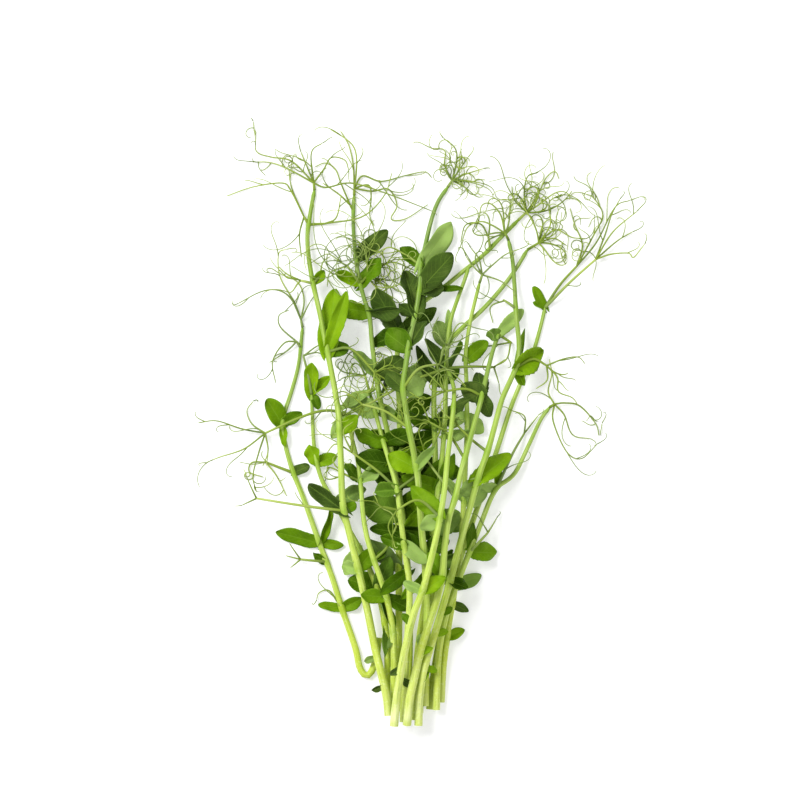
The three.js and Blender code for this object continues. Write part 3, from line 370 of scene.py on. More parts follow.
                    [[16, 103], [19.2, 107.6]], [[14.4, 106], [13.6, 111], [9, 115]],
                    [[9.6, 104], [9.6, 110], [4.4, 111]],
                ], "more": 2, "reach": 12},
            ]},
        ],
    },
    {
        "name": "shoot_low_left", "crest": 10, "girth": 0.95,
        "route": [
            [-11, -114.8], [-11, -106], [-10.8, -94], [-11.4, -82], [-13.6, -70], [-16.4, -61.2],
            [-19.2, -53.2], [-21.6, -45.2], [-23.2, -36], [-24, -26], [-25.2, -16], [-27.6, -6],
            [-30, 4],
        ],
        "joints": [
            {"at": [-11.2, -84], "leaves": [[-18, -71, 7]]},
            {"at": [-14, -69], "leaves": [[-4.4, -74.4, 6], [-24, -67, 7]]},
            {"at": [-18.6, -55], "leaves": [[-13.6, -50.6, 3.4]], "fans": [
                {"stalk": [[-13.4, -49], [-9.6, -40.4]], "lines": [[[-11.6, -36], [-15.4, -34]]]},
            ]},
            {"at": [-24, -23], "leaves": [[-17.4, -17.4, 8.4], [-30.4, -16, 6]], "fans": [
                {"stalk": [[-31, -20]], "lines": [
                    [[-37, -17.6], [-38.4, -22.4]],
                ], "more": 2, "reach": 14},
            ]},
            {"at": [-30, 4], "leaves": [[-36, -6, 6]], "fans": [
                {"stalk": [[-38, 5.4], [-48, 2.8], [-63.2, -4]], "lines": [
                    [[-72, -2], [-82, 1.2], [-89.6, 0.4]], [[-71, -10], [-81, -13.4], [-86.4, -15.6]],
                    [[-68, 0], [-70, 5.2], [-67.4, 9.2]], [[-65.2, -12], [-67.4, -21], [-66, -27.4]],
                    [[-61.4, -11], [-63.6, -17]],
                ]},
            ]},
        ],
    },
    {
        "name": "shoot_mid_left", "crest": 15, "girth": 1,
        "route": [
            [-7, -119.6], [-6.8, -110], [-6, -94], [-5.2, -82], [-4.6, -72], [-4.8, -62], [-6, -54],
            [-7.6, -42], [-8.8, -32], [-9.8, -25], [-12, -17.2], [-14.8, -8], [-17.6, 2], [-20.4, 12],
        ],
        "joints": [
            {"at": [-6.8, -49], "leaves": [[1.8, -56.6, 7.4], [-16.4, -45, 6.5]]},
            {"at": [-9.4, -27], "leaves": [[-18.6, -27, 8]], "fans": [
                {"stalk": [[0, -18], [8.4, -0.8]], "lines": [
                    [[12, 3], [17, 1]],
                ], "more": 1, "reach": 14},
                {"stalk": [[-17, -19], [-28, -11]], "lines": [
                    [[-34, -8], [-38, -12]], [[-31, -3], [-27, 1]],
                ], "more": 2, "reach": 12},
            ]},
            {"at": [-14.8, -8], "leaves": [[-27, -2, 9], [-4, -1, 9]]},
            {"at": [-18, 3.4], "leaves": [[-29, 11, 9]]},
            {"at": [-20.4, 12], "leaves": [[-33.4, 6.4, 8.4], [-12, 21, 8]], "fans": [
                {"stalk": [[-22.6, 20]], "lines": [
                    [[-27, 29], [-31, 24], [-29, 20]], [[-18, 28], [-10, 26]],
                ], "more": 3, "reach": 16},
            ]},
        ],
    },
    {
        "name": "shoot_right_low", "crest": 5, "girth": 0.95,
        "route": [
            [6.2, -114.8], [6.4, -106], [7, -94], [8.4, -84], [10.8, -74], [14, -65.2], [17.6, -56],
            [20.8, -48], [24.8, -38], [28, -30], [31, -25], [35, -22.4], [38.6, -18.4], [44, -7.2],
            [48.4, 2], [52, 6.8],
        ],
        "joints": [
            {"at": [19.6, -51], "leaves": [[31, -52, 7.6], [20.4, -39.6, 5.6]], "fans": [
                {"stalk": [[27.4, -43]], "lines": [[[30.6, -37.6]], [[24.6, -39.6]]]},
            ]},
            {"at": [30, -26.4], "leaves": [[23.6, -26, 6.6], [28.6, -16.4, 5]], "fans": [
                {"stalk": [[36.8, -12], [42, -3.2]], "lines": [
                    [[41.6, 3], [36.4, 5.4]], [[47.4, 3.6]],
                ]},
            ]},
            {"at": [52, 6.8], "fans": [
                {"stalk": [[54, 8.2]], "lines": [
                    [[53.2, 1], [58.4, -11], [64.4, -14], [71, -8]],
                    [[58, 8.4], [64, 7.2], [70.4, 0], [71.8, -5], [73, 0.4]],
                    [[57.6, 3.6], [61, -4.4], [68.4, -6]], [[51.2, 13], [52.6, 20], [51.6, 26]],
                ]},
            ]},
        ],
    },
    {
        "name": "shoot_right", "crest": 14, "girth": 1.04,
        "route": [
            [-1, -120.8], [-0.6, -110], [1.2, -98], [4.8, -86], [8.4, -74], [11.8, -62], [14.4, -52],
            [17.6, -40], [20.4, -30], [23.2, -20], [26.8, -10], [29.6, 0], [32.4, 10], [36, 18],
            [38.8, 25], [39.2, 33], [38.2, 44], [37.6, 56], [36.8, 66], [35.2, 74],
        ],
        "joints": [
            {"at": [11.6, -62], "leaves": [[18.4, -66, 6.4]]},
            {"at": [22.4, -23], "leaves": [[15.8, -29, 7], [36.6, -11.6, 7.6]]},
            {"at": [26.4, -11], "fans": [
                {"stalk": [[20, -6], [14, 0]], "lines": [
                    [[8, 6], [9, 11]], [[12, 7], [15, 12]],
                ], "more": 1, "reach": 10},
            ]},
            {"at": [38.6, 23.5], "leaves": [[49, 31, 11.6], [41.8, 38, 2.6], [41.4, 15.4, 5]], "fans": [
                {"stalk": [[45, 26], [51, 23]], "lines": [
                    [[57, 26], [63, 26.8], [66, 24]], [[54.6, 18.6], [55, 13], [60.4, 10.6], [62.6, 8]],
                    [[50.6, 17.6], [46, 14]],
                ], "more": 1, "reach": 12},
            ]},
            {"at": [38, 46], "fans": [{"stalk": [[33, 50]], "lines": [[[28, 47], [29, 40.4]]]}]},
            {"at": [35.2, 74], "fans": [
                {"stalk": [[33.4, 77.2]], "lines": [
                    [[28.8, 79.6], [24, 81.2], [18.8, 79], [16.4, 73]],
                    [[32, 84], [28, 88.4], [24.4, 87.6], [23.4, 82]],
                ], "more": 4, "reach": 20},
            ]},
        ],
    },
    {
        "name": "shoot_left", "crest": 13, "girth": 1.06,
        "route": [
            [-13, -116.8], [-14, -108], [-18.4, -90], [-22.4, -70], [-28, -46], [-31.2, -32],
            [-32, -14], [-33.2, 6], [-36.8, 26], [-40, 42], [-44, 60], [-45.6, 74], [-44.4, 85.2],
            [-42.8, 94],
        ],
        "joints": [
            {"at": [-25.4, -58], "leaves": [[-18.8, -50, 6.6], [-31.6, -56.4, 6]]},
            {"at": [-31, -34], "leaves": [[-45, -24.6, 7.6], [-25.8, -32, 4.4]], "fans": [
                {"stalk": [[-48, -32.4], [-66.4, -29.6]], "lines": [[[-69.4, -22]], [[-71.8, -32.6]]]},
            ]},
            {"at": [-32.6, -3], "leaves": [[-26.4, 4.6, 7]]},
            {"at": [-37.2, 28], "leaves": [[-33, 54, 11], [-25, 51, 8.4], [-28.6, 31, 7]], "fans": [
                {"stalk": [[-28, 30], [-18, 20]], "lines": [
                    [[-11.6, 9.6]], [[-14, 22], [-9, 20]], [[-20, 14], [-25, 12]],
                ], "more": 2, "reach": 14},
            ]},
            {"at": [-43.4, 57], "leaves": [[-38.8, 61.6, 5]], "fans": [
                {"stalk": [[-48.8, 57.6]], "lines": [
                    [[-53.6, 60], [-57.4, 63.4]],
                ], "more": 2, "reach": 14},
                {"stalk": [[-40, 60]], "lines": [[[-39.4, 65], [-36.4, 67.4]]]},
            ]},
            {"at": [-45.4, 80], "fans": [
                {"stalk": [[-47.4, 84]], "lines": [
                    [[-52, 95], [-53.2, 103]], [[-52.4, 94], [-56, 96.8], [-68, 95.2], [-78.4, 91.6]],
                    [[-48.8, 76], [-48, 66.8]],
                ]},
                {"stalk": [[-38, 80.6]], "lines": [
                    [[-23.6, 83.2], [-14.8, 91.6], [-11.6, 101]], [[-34, 83], [-32, 92]],
                ]},
            ]},
            {"at": [-42.8, 94], "fans": [
                {"stalk": [[-43.2, 97.6]], "lines": [
                    [[-52, 105.6], [-60, 107.2], [-66, 109.4], [-66.6, 115], [-67.6, 122]],
                    [[-54, 102.8], [-60.8, 105.2], [-67.2, 105.4]], [[-48.4, 109.6]],
                    [[-39, 102.4], [-36, 107], [-30.6, 106], [-29, 102]], [[-44, 109], [-39.4, 113]],
                    [[-38, 95], [-28, 96.6], [-14, 92.4], [4, 85.6]],
                ]},
            ]},
        ],
    },
    {
        "name": "shoot_front_right", "crest": 22, "girth": 1.08,
        "route": [
            [-5.6, -120.4], [-4.6, -110], [-2.4, -100], [0.4, -88], [3.6, -78], [6.4, -69.2],
            [8.4, -60], [9.2, -50], [10.8, -38], [13.6, -28.8], [15.6, -20], [18.4, -10], [21.2, 0],
            [24, 10], [26.4, 20], [28.8, 29.2], [31.2, 36],
        ],
        "joints": [
            {"at": [8.3, -61], "leaves": [[3, -51, 6]]},
            {"at": [13.2, -30], "fans": [
                {"stalk": [[8, -22], [2, -14]], "lines": [
                    [[-3.2, -9], [-9, -11]], [[1, -8.4], [6, -5]],
                ]},
            ]},
            {"at": [17.4, -13], "fans": [
                {"stalk": [[11, -4], [3, 1]], "lines": [
                    [[-4, 2], [-9, -2]], [[0, 8], [-5, 12]],
                ], "more": 2, "reach": 12},
            ]},
            {"at": [24.6, 12], "leaves": [[23, 21, 6.4], [15.6, 15, 8], [28, 2.6, 6]], "fans": [
                {"stalk": [[18, 14], [9, 13]], "lines": [
                    [[1, 10], [-5, 13]], [[4, 19], [-1, 23]],
                ], "more": 2, "reach": 12},
            ]},
            {"at": [31.2, 36], "leaves": [[36.6, 49, 11], [26, 35, 6.4]], "fans": [
                {"stalk": [[36.8, 32.4]], "lines": [
                    [[34.4, 26], [28.6, 22.6]], [[28, 31.4], [21, 31], [15, 29.6]],
                ]},
            ]},
        ],
    },
    {
        "name": "shoot_front", "crest": 26, "girth": 1.08,
        "route": [
            [-10.8, -120.8], [-10, -112], [-8, -98], [-5.2, -84], [-2.6, -74], [0.4, -66.4], [3.2, -56],
            [5.6, -46], [7.6, -36], [9.2, -26], [10.4, -14], [12, -2], [13.2, 10], [12.8, 16],
            [10.4, 22.4],
        ],
        "joints": [
            {"at": [0.2, -67], "leaves": [[-7.4, -62.4, 5], [9.8, -60.6, 6]]},
            {"at": [7.4, -37], "leaves": [[-4.6, -24.6, 7.4], [-0.4, -42, 6]], "fans": [
                {"stalk": [[-1, -30], [-10, -34]], "lines": [
                    [[-16, -33], [-20, -37]], [[-13, -40], [-11, -46]],
                ], "more": 1, "reach": 10},
            ]},
            {"at": [12.6, 6], "leaves": [[20, 9, 4]]},
            {"at": [10.4, 22.4], "fans": [
                {"stalk": [[-4, 17], [-23.2, 6.8]], "lines": [
                    [[-30, 4], [-33, 9]], [[-26, 0], [-22, -6]],
                ]},
                {"stalk": [[20, 23], [30, 22.8]], "lines": [[[31.4, 16]], [[34, 26]]]},
                {"stalk": [[10.4, 32]], "lines": [
                    [[5, 37], [7, 43]], [[15, 40], [21, 38.6]],
                ], "more": 2, "reach": 14},
            ]},
        ],
    },
]

# %% [markdown]
# ## Numbers that look like chance
# A plant needs variety, but the picture has to come out the same each time. A small recipe gives
# numbers that look random and never change, and each leaf and tendril has its own seed.

# %% Chance
FACTOR, LIMIT = 16807, 2147483647
SEED_FACTOR, SEED_SHIFT = 7919, 12345  # they part the streams of neighbouring seeds


def stream(seed):
    """A function that draws the next number between two others, the same ones for the same seed."""
    state = (seed * SEED_FACTOR + SEED_SHIFT) * FACTOR % LIMIT

    def draw(low, high):
        nonlocal state
        state = state * FACTOR % LIMIT
        return low + (high - low) * (state / LIMIT)

    return draw


# %% [markdown]
# ## Smooth lines
# A stem is known at a few places. A cubic curve runs through all of them without a kink, and then the
# curve is cut into even steps, so a tube along it has even rings.

# %% Smooth lines
CUBIC_STEPS = 8  # between two places


def evenly(line, step):
    """A line cut anew into even steps."""
    line = np.asarray(line, float)
    run = np.concatenate([[0], np.cumsum(np.linalg.norm(np.diff(line, axis=0), axis=1))])
    n = max(2, math.floor(run[-1] / step + 0.5))
    want = np.linspace(0, run[-1], n + 1)
    return np.column_stack([np.interp(want, run, axis) for axis in line.T])


def smooth_line(points, step):
    """A smooth line through places, in even steps."""
    p = np.asarray(points, float)
    p = np.vstack([2 * p[0] - p[1], p, 2 * p[-1] - p[-2]])
    t = np.arange(CUBIC_STEPS)[:, None] / CUBIC_STEPS
    fine = [
        (-t + 2 * t**2 - t**3) / 2 * p[i - 1]
        + (2 - 5 * t**2 + 3 * t**3) / 2 * p[i]
        + (t + 4 * t**2 - 3 * t**3) / 2 * p[i + 1]
        + (-(t**2) + t**3) / 2 * p[i + 2]
        for i in range(1, len(p) - 2)
    ]
    return evenly(np.vstack(fine + [p[-2:-1]]), step)


def facets(line, step, turn):
    """The points that a coarse tube keeps: one where it has gone a step or turned enough."""
    hops = np.diff(line, axis=0)
    lengths = np.linalg.norm(hops, axis=1)
    ways = hops / lengths[:, None]
    turns = np.arccos(np.minimum(1, (ways[1:] * ways[:-1]).sum(1)))
    kept, gone, turned = [0], 0, 0
    for i in range(1, len(line) - 1):
        gone += lengths[i - 1]
        turned += turns[i - 1]
        if gone >= step or turned >= math.radians(turn):
            kept.append(i)
            gone = turned = 0
    if len(kept) > 1 and gone < 1:
        kept.pop()
    return kept + [len(line) - 1]


# %% [markdown]
# ## Room for everything
# Leaves and tendrils of a real bunch push each other aside. A simulation of that is slow and hard to
# steer. Here each piece is a row of balls, and it takes a place only where its balls touch no other
# shoot, stay above the table and stay in the space of the solids.

# %% Room
MOST_BALLS = 20000
WIDEST_REACH = 4  # farther apart than this, no two balls touch
OWN_OVERLAP = 0.9  # what grows on one shoot may lie closer together
ROOM_EDGE = 1
balls_at = np.zeros((MOST_BALLS, 3))
balls_r = np.zeros(MOST_BALLS)
balls_of = np.zeros(MOST_BALLS, int)
balls_n = 0
room_low = np.array(solids_low) / MM - ROOM_EDGE
room_high = np.array(solids_high) / MM + ROOM_EDGE


def place(points, radii, shoot):
    """Keep the room of a piece of a shoot."""
    global balls_n
    end = balls_n + len(points)
    balls_at[balls_n:end] = points
    balls_r[balls_n:end] = radii
    balls_of[balls_n:end] = shoot
    balls_n = end


def is_clear(points, radii, shoot, root, own):
    """Whether a piece has room: next to other shoots, and with own also on its own shoot."""
    points, radii = np.asarray(points), np.broadcast_to(radii, len(points))
    if (points[:, 2] < radii).any() or (points < room_low).any() or (points > room_high).any():
        return False
    low, high = points.min(0) - WIDEST_REACH, points.max(0) + WIDEST_REACH
    at = balls_at[:balls_n]
    near = ((at > low) & (at < high)).all(1)
    at, r, of = at[near], balls_r[:balls_n][near], balls_of[:balls_n][near]
    far = np.linalg.norm(points[:, None] - at[None], axis=2)
    reach = radii[:, None] + r[None]
    mine = of[None] == shoot
    if (~mine & (far < reach + GAP)).any():
        return False
    away = np.linalg.norm(points - root, axis=1) > ROOT_FREE
    return not (own and (mine & away[:, None] & (far < OWN_OVERLAP * reach)).any())


def settle(seed, shoot, root, make):
    """The first form of a piece that finds room. make draws one, and bolder ones as the tries go on."""
    draw = stream(seed)
    for attempt in range(TRIES):
        piece = make(draw, attempt / TRIES)
        if is_clear(piece["balls"], piece["guard"], shoot, root, attempt < TRIES / 2):
            place(piece["balls"], piece["guard"], shoot)
            return piece
    return None


# %% [markdown]
# ## Stems
# Fresh stems are springy: one that crosses another climbs over it in a long low arc, and the ones on
# top bow up off the table. So they are laid one by one, each as low as those under it allow.

# %% Stems
laid = np.zeros((0, 4))


def lay_stem(shoot, number):
    """The axis of a stem on top of those laid before it, and its half width along the axis."""
    global laid
    plan = smooth_line(shoot["route"], SPACING)
    last = len(plan) - 1
    t = np.arange(last + 1) / last
    flat = STEM_FLAT * shoot["girth"] * (1 - STEM_TAPER * t)
    need = flat + shoot["crest"] * np.sin(math.pi * t) ** 2
    far = np.linalg.norm(plan[:, None] - laid[None, :, :2], axis=2)
    reach = flat[:, None] * CORNER + laid[None, :, 3] + GAP
    over = laid[None, :, 2] + np.sqrt(np.maximum(0, reach**2 - far**2))
    need = np.maximum(need, np.where(far < reach, over, 0).max(1, initial=0))
    gap = SPACING * (np.arange(last + 1)[:, None] - np.arange(last + 1)[None])
    z = (need[None] - gap**2 / (2 * BEND_R)).max(1)
    line = np.column_stack([plan, z])
    laid = np.vstack([laid, np.column_stack([line, flat * CORNER])])
    kept = evenly(line[facets(line, STEM_STEP, STEM_TURN)], SPACING)
    s = np.arange(len(kept)) / (len(kept) - 1)
    place(kept, STEM_FLAT * shoot["girth"] * (1 - STEM_TAPER * s) * CORNER, number)
    return {"line": line, "flat": flat}


stems = [lay_stem(shoot, i) for i, shoot in enumerate(SHOOTS)]
print("top of the highest stem:", round(max(s["line"][:, 2].max() for s in stems), 1), "mm")

# %% [markdown]
# ## Leaves
# A leaf is a thin oval that folds up a little along its midrib. Its root and the place of its tip seen
# from above are known. How much it lifts, rolls, swings and bends is drawn again until it has room.

# %% Where the leaves go
BALL_ROWS, BALL_COLUMNS = 2, 1.8  # most space between the balls of a leaf, along it and across


def leaf_half(u):
    """Half the width of a leaf, as a share of its widest, from its root 0 to its tip 1."""
    return np.sin(math.pi * np.asarray(u) ** 1.06) ** 0.54


def leaf_frame(root, tip, lift, roll, bend):
    """How a leaf lies: its length, the ways across it and out of it, and the line of its midrib."""
    ahead = np.array(tip) - root[:2]
    run = math.hypot(*ahead)
    h = ahead / run
    way = np.array([h[0] * math.cos(lift), h[1] * math.cos(lift), math.sin(lift)])
    level = np.array([-h[1], h[0], 0])
    over = np.cross(way, level)
    side = level * math.cos(roll) + over * math.sin(roll)
    normal = over * math.cos(roll) - level * math.sin(roll)
    length = run / math.cos(lift)

    def rib(u):
        u = np.asarray(u)[..., None]
        return root + way * length * u + normal * bend * length * u * u

    return {"length": length, "side": side, "normal": normal, "rib": rib}


def leaf_balls(blade, width):
    """The middles of the balls that keep a leaf's place, all but those next to its root."""
    balls = []
    rows = math.ceil(blade["length"] / BALL_ROWS)
    for i in range(2, rows + 1):
        u = i / rows
        half = width / 2 * float(leaf_half(min(u, 0.98)))
        across = max(1, math.ceil(half / BALL_COLUMNS))
        s = half * np.arange(-across, across + 1) / across
        up = LEAF_FOLD * np.abs(s)
        balls.append(blade["rib"](u) + s[:, None] * blade["side"] + up[:, None] * blade["normal"])
    return np.vstack(balls)


def swing(root, tip, a):
    """A place seen from above, turned about a root."""
    x, y = tip[0] - root[0], tip[1] - root[1]
    cos, sin = math.cos(a), math.sin(a)
    return np.array([root[0] + x * cos - y * sin, root[1] + x * sin + y * cos])


def grow_leaf(seed, shoot, root, way, tip, width):
    """A leaf from a root on a stem that runs in a way, to a tip seen from above."""
    ahead = np.array(tip) - root[:2]
    ahead = ahead / np.linalg.norm(ahead)
    climb = math.atan2(way[2] * (ahead @ way[:2]), way[:2] @ way[:2])

    def make(draw, late):
        lift = climb + math.radians(draw(-26 - 20 * late, -12 + 62 * late))
        roll = math.radians(draw(-14 - 62 * late, 14 + 62 * late))
        swung = swing(root, tip, math.radians(draw(-35, 35) * late))
        blade = leaf_frame(root, swung, lift, roll, draw(-0.16, 0.08))
        wide = width * (1 - 0.55 * late)
        room = {"balls": leaf_balls(blade, wide), "guard": LEAF_GUARD}
        return {"kind": "leaf", "seed": seed, "blade": blade, "wide": wide, **room}

    return settle(seed, shoot, root, make)


# %% [markdown]
# ## Leaf stalks and tendrils
# A tendril feels its way nearly straight and then hooks round what it meets. The large ones go
# through places in the table, and the others are drawn by that rule: a gentle sway, and a hook whose
# turn grows fast towards the end.

# %% Where the tendrils go
def raised(plan, z, rise, arch, least):
    """A line over a plan: it starts at height z, rises, arches, and never gets lower than least."""
    t = np.arange(len(plan)) / (len(plan) - 1)
    return np.column_stack([plan, np.maximum(least, z + rise * t + arch * 4 * t * (1 - t))])


def hook_plan(root, heading, length, sway, hook, n=14):
    """A tendril seen from above, in n hops: it sways, and most of the hook's turn is near its tip."""
    t = (np.arange(n) + 0.5) / n
    a = heading + sway * t + hook * t**4
    hops = length / n * np.column_stack([np.cos(a), np.sin(a)])
    return np.vstack([root[:2], root[:2] + np.cumsum(hops, axis=0)])


def grow_line(seed, shoot, root, kind, plan_of):
    """A stalk or a large tendril over the plan that plan_of draws."""
    radii, step, turn = STALK_R, STALK_STEP, STALK_TURN
    if kind == "tendril":
        radii, step, turn = TENDRIL_R, TENDRIL_STEP, TENDRIL_TURN

    def make(draw, late):
        rise = draw(-0.6 - 0.4 * late, 0.25 + 1.2 * late) * max(root[2], 8)
        plan = plan_of(draw)
        line = raised(plan, root[2], rise, draw(-1 - 4 * late, 3 + 8 * late), radii[0] + 0.2)
        balls = evenly(line[facets(line, step, turn)], 1)
        guard = radii[0] + (radii[1] - radii[0]) * np.arange(len(balls)) / (len(balls) - 1)
        return {"kind": kind, "line": line, "balls": balls[1:], "guard": guard[1:]}

    return settle(seed, shoot, root, make)


def grow_fan(seed, shoot, root, fan):
    """A leaf stalk and, at its end, the tendrils of the table and then those by the rule."""
    route = smooth_line([root[:2], *fan["stalk"]], SPACING)
    stalk = grow_line(seed, shoot, root, "stalk", lambda draw: route)
    if not stalk:
        return []
    line = stalk["line"]
    end = line[-1] * 0.65 + line[-2] * 0.35
    way = line[-1] - line[-2]
    fan_out = [stalk]
    for k, points in enumerate(fan["lines"]):
        plan = smooth_line([end[:2], *points], 1)
        fan_out.append(grow_line(seed + 20 + k, shoot, end, "tendril", lambda draw: plan))
    for k in range(fan.get("more", 0)):

        def hooked(draw):
            a = math.atan2(way[1], way[0]) + math.radians(draw(-85, 85))
            return hook_plan(end, a, fan["reach"] * draw(0.55, 1), draw(-1.2, 1.2), draw(-5, 5))

        fan_out.append(grow_line(seed + 60 + k, shoot, end, "tendril", hooked))
    return fan_out


# %% [markdown]
# ## Growing the shoots
# A pea shoot adds joint after joint, each with its leaves and a stalk with tendrils. So the table is
# walked joint by joint. All the fans go first, because a long tendril finds room less easily than a
# leaf, which can turn aside.

# %% Growing the shoots
def joints_of(number):
    """Each joint of a shoot, its place, the stem's way and half width there, and its seed.

    Seeds are spread out: 1000 for a shoot, 100 for a joint, 33 for a fan, and 20 or 60 for the first
    of its tendrils.
    """
    line, flat = stems[number]["line"], stems[number]["flat"]
    for j, joint in enumerate(SHOOTS[number]["joints"]):
        i = int(np.argmin(np.hypot(*(line[:, :2] - joint["at"]).T)))
        way = line[min(i + 1, len(line) - 1)] - line[i - 1]
        yield joint, line[i], way, flat[i], 1000 * (number + 1) + 100 * j


def fans_of(number):
    pieces = []
    for joint, root, _, _, seed in joints_of(number):
        for k, fan in enumerate(joint.get("fans", [])):
            pieces += grow_fan(seed + 33 * k + 7, number, root, fan)
    return [piece for piece in pieces if piece]


def leaves_of(number):
    pieces = []
    for joint, root, way, half, seed in joints_of(number):
        low = root - [0, 0, LEAF_LOW * half]
        for k, (x, y, width) in enumerate(joint.get("leaves", [])):
            pieces.append(grow_leaf(seed + k, number, low, way, (x, y), width))
    return [piece for piece in pieces if piece]


fans = [fans_of(i) for i in range(len(SHOOTS))]
leaves = [leaves_of(i) for i in range(len(SHOOTS))]
grown = [fan + leaf for fan, leaf in zip(fans, leaves)]
for kind in ("leaf", "stalk", "tendril"):
    print(kind, sum(piece["kind"] == kind for pieces in grown for piece in pieces))

# %% [markdown]
# ## Scale leaves
# The lowest joints of a shoot carry no real leaves, only small pointed scales that clasp the stem. They
# hardly change the outline, so only this finer model has them. Each sits on the uppermost stem there.

# %% Scale leaves
SCALE_SEED = 90000
SCALE_LONG, SCALE_WIDE = 5.5, 3
ON_STEM = 3  # a stem whose axis is nearer than this lies there
# where a scale grows, and the way that it points, in degrees
SCALES = [
    (1, -91, 20), (-9, -97, 215), (-4, -104, 150), (-14, -104, 200), (4, -97, -20), (2, -103, 60),
    (-11, -86, 240), (7, -84, 10), (-2, -88, 100), (10, -77, 25), (-15, -92, 205), (-6, -79, 130),
]


def grow_scale(seed, x, y, heading):
    """Add a scale to the shoot whose stem is uppermost at a place, if it finds room."""
    beside = []
    for number, stem in enumerate(stems):
        plan = np.hypot(*(stem["line"][:, :2] - (x, y)).T)
        i = int(plan.argmin())
        if plan[i] < ON_STEM:
            beside.append((stem["line"][i][2], number, i))
    _, number, i = max(beside)
    root, way = stems[number]["line"][i], stems[number]["line"][i + 1] - stems[number]["line"][i]
    a = math.radians(heading)
    tip = (root[0] + SCALE_LONG * math.cos(a), root[1] + SCALE_LONG * math.sin(a))
    scale = grow_leaf(seed, number, root, way, tip, SCALE_WIDE)
    if scale:
        grown[number].append(scale)


for k, (x, y, heading) in enumerate(SCALES):
    grow_scale(SCALE_SEED + k, x, y, heading)
print("leaves and scales:", sum(piece["kind"] == "leaf" for pieces in grown for piece in pieces))

# %% [markdown]
# ## Curls
# The solids carry only the large tendrils. On the plant many of them end in a hook, and finer ones
# branch off and curl, most of all in a few dense tangles. They could be drawn as curves by hand. Here
# they follow the same rule of growth as the large ones, with less length and more turn, and stay
# inside the space of the bunch.

# %% Finer tendrils
CURL_SEED = 50000
CURL_R = (0.22, 0.13)
CURL_HOPS = 22
END_CURLS = 0.45  # share of the large tendrils that end in a curl
# where fine tendrils are densest: the middle, how far round it, their spacing along a tendril, and how
# long they grow
TANGLES = [
    ((-18, 60), 20, 2.5, 24), ((51, 85), 20, 4, 15), ((-16, 16), 22, 6, 19), ((14, 100), 12, 3, 11),
    ((-56, 106), 11, 4, 7), ((64, 12), 12, 8, 9), ((-60, -16), 12, 7, 9),
]
SPARSE = (14, 14)  # spacing and length anywhere else
DENSE_WAY, SPARSE_WAY = (75, 6), (50, 1.5)  # widest angle off the parent in degrees, and most sway


def curl(seed, shoot, parent, t, spread, reach, loop, turn):
    """A fine tendril that leaves its parent at t, from 0 to 1, loops round and ends in a hook."""
    line = parent["line"]
    i = min(int(t * (len(line) - 1)), len(line) - 2)
    root = line[i + 1] if t == 1 else line[i]
    way = line[i + 1] - line[i]
    heading = math.atan2(way[1], way[0])

    def make(draw, late):
        a = heading + draw(-1, 1) * math.radians(spread)
        length = reach * draw(0.4, 1.3) * (1 - 0.5 * late)
        hook = draw(0.1, 1.2) * turn * (1 if draw(-1, 1) > 0 else -1)
        plan = hook_plan(root, a, length, draw(-loop, loop), hook, CURL_HOPS)
        path = raised(plan, root[2], draw(-4, 4), draw(-1, 3), CURL_R[0] + 0.1)
        return {"kind": "curl", "line": path, "balls": path[3::3], "guard": CURL_R[0]}

    return settle(seed, shoot, root, make)


def grow_curls(pieces, number):
    """The fine tendrils of a shoot, on its stalks and large tendrils."""
    curls = []
    for k, parent in enumerate([p for p in pieces if p["kind"] in ("tendril", "stalk")]):
        seed = CURL_SEED + 2000 * number + 20 * k
        length = len(parent["line"])
        draw = stream(seed)
        middle = parent["line"].mean(0)[:2]
        dense = [tangle[2:] for tangle in TANGLES if math.dist(middle, tangle[0]) < tangle[1]]
        spacing, reach = dense[0] if dense else SPARSE
        if parent["kind"] == "tendril" and draw(0, 1) < END_CURLS:
            curls.append(curl(seed, number, parent, 1, spread=20, reach=7, loop=0.8, turn=5))
        spread, loop = DENSE_WAY if dense else SPARSE_WAY
        for j in range(1, 1 + int(length / spacing)):
            curls.append(curl(seed + j, number, parent, draw(0.15, 0.95), spread, reach, loop, 3))
    return [piece for piece in curls if piece]


for i, pieces in enumerate(grown):
    pieces += grow_curls(pieces, i)
print("fine tendrils:", sum(piece["kind"] == "curl" for pieces in grown for piece in pieces))

# %% [markdown]
# ## Making a mesh
# A bunch has a few hundred parts, so each shoot becomes three pieces: its stem, its leaves and its
# tendrils. Corners, faces and the numbers that the colours need are gathered first and turned into
# one mesh at the end, which is much quicker than an object for each leaf.

# %% Gathering corners and faces
TABLE_GUARD = [-1e3, -1e3, 0.02]  # no corner is lower than this, so nothing sinks into the table


class Gathered:
    """The corners and faces of one piece, with a number of each kind for every corner."""

    def __init__(self):
        self.corners, self.faces, self.finish = [], [], []
        self.numbers = {"across": [], "along": [], "tone": [], "extra": []}
        self.count = 0

    def add(self, corners, faces, finish, across, along, tone, extra):
        n = len(corners)
        self.corners.append(np.maximum(corners, TABLE_GUARD))
        self.faces += [tuple(self.count + int(c) for c in face) for face in faces]
        self.finish += list(np.broadcast_to(finish, len(faces)))
        for name, value in zip(self.numbers, (across, along, tone, extra)):
            self.numbers[name].append(np.broadcast_to(value, n))
        self.count += n

    def piece(self, name, paints, slot, node):
        mesh = bpy.data.meshes.new(name)
        mesh.from_pydata(np.vstack(self.corners) * MM, [], self.faces)
        for paint in paints:
            mesh.materials.append(paint)
        mesh.polygons.foreach_set("material_index", self.finish)
        mesh.polygons.foreach_set("use_smooth", [True] * len(self.faces))
        for label, values in self.numbers.items():
            stored = mesh.attributes.new(label, "FLOAT", "POINT")
            stored.data.foreach_set("value", np.concatenate(values))
        made = bpy.data.objects.new(name, mesh)
        bpy.context.scene.collection.objects.link(made)
        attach(made, "root")
        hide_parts(node)


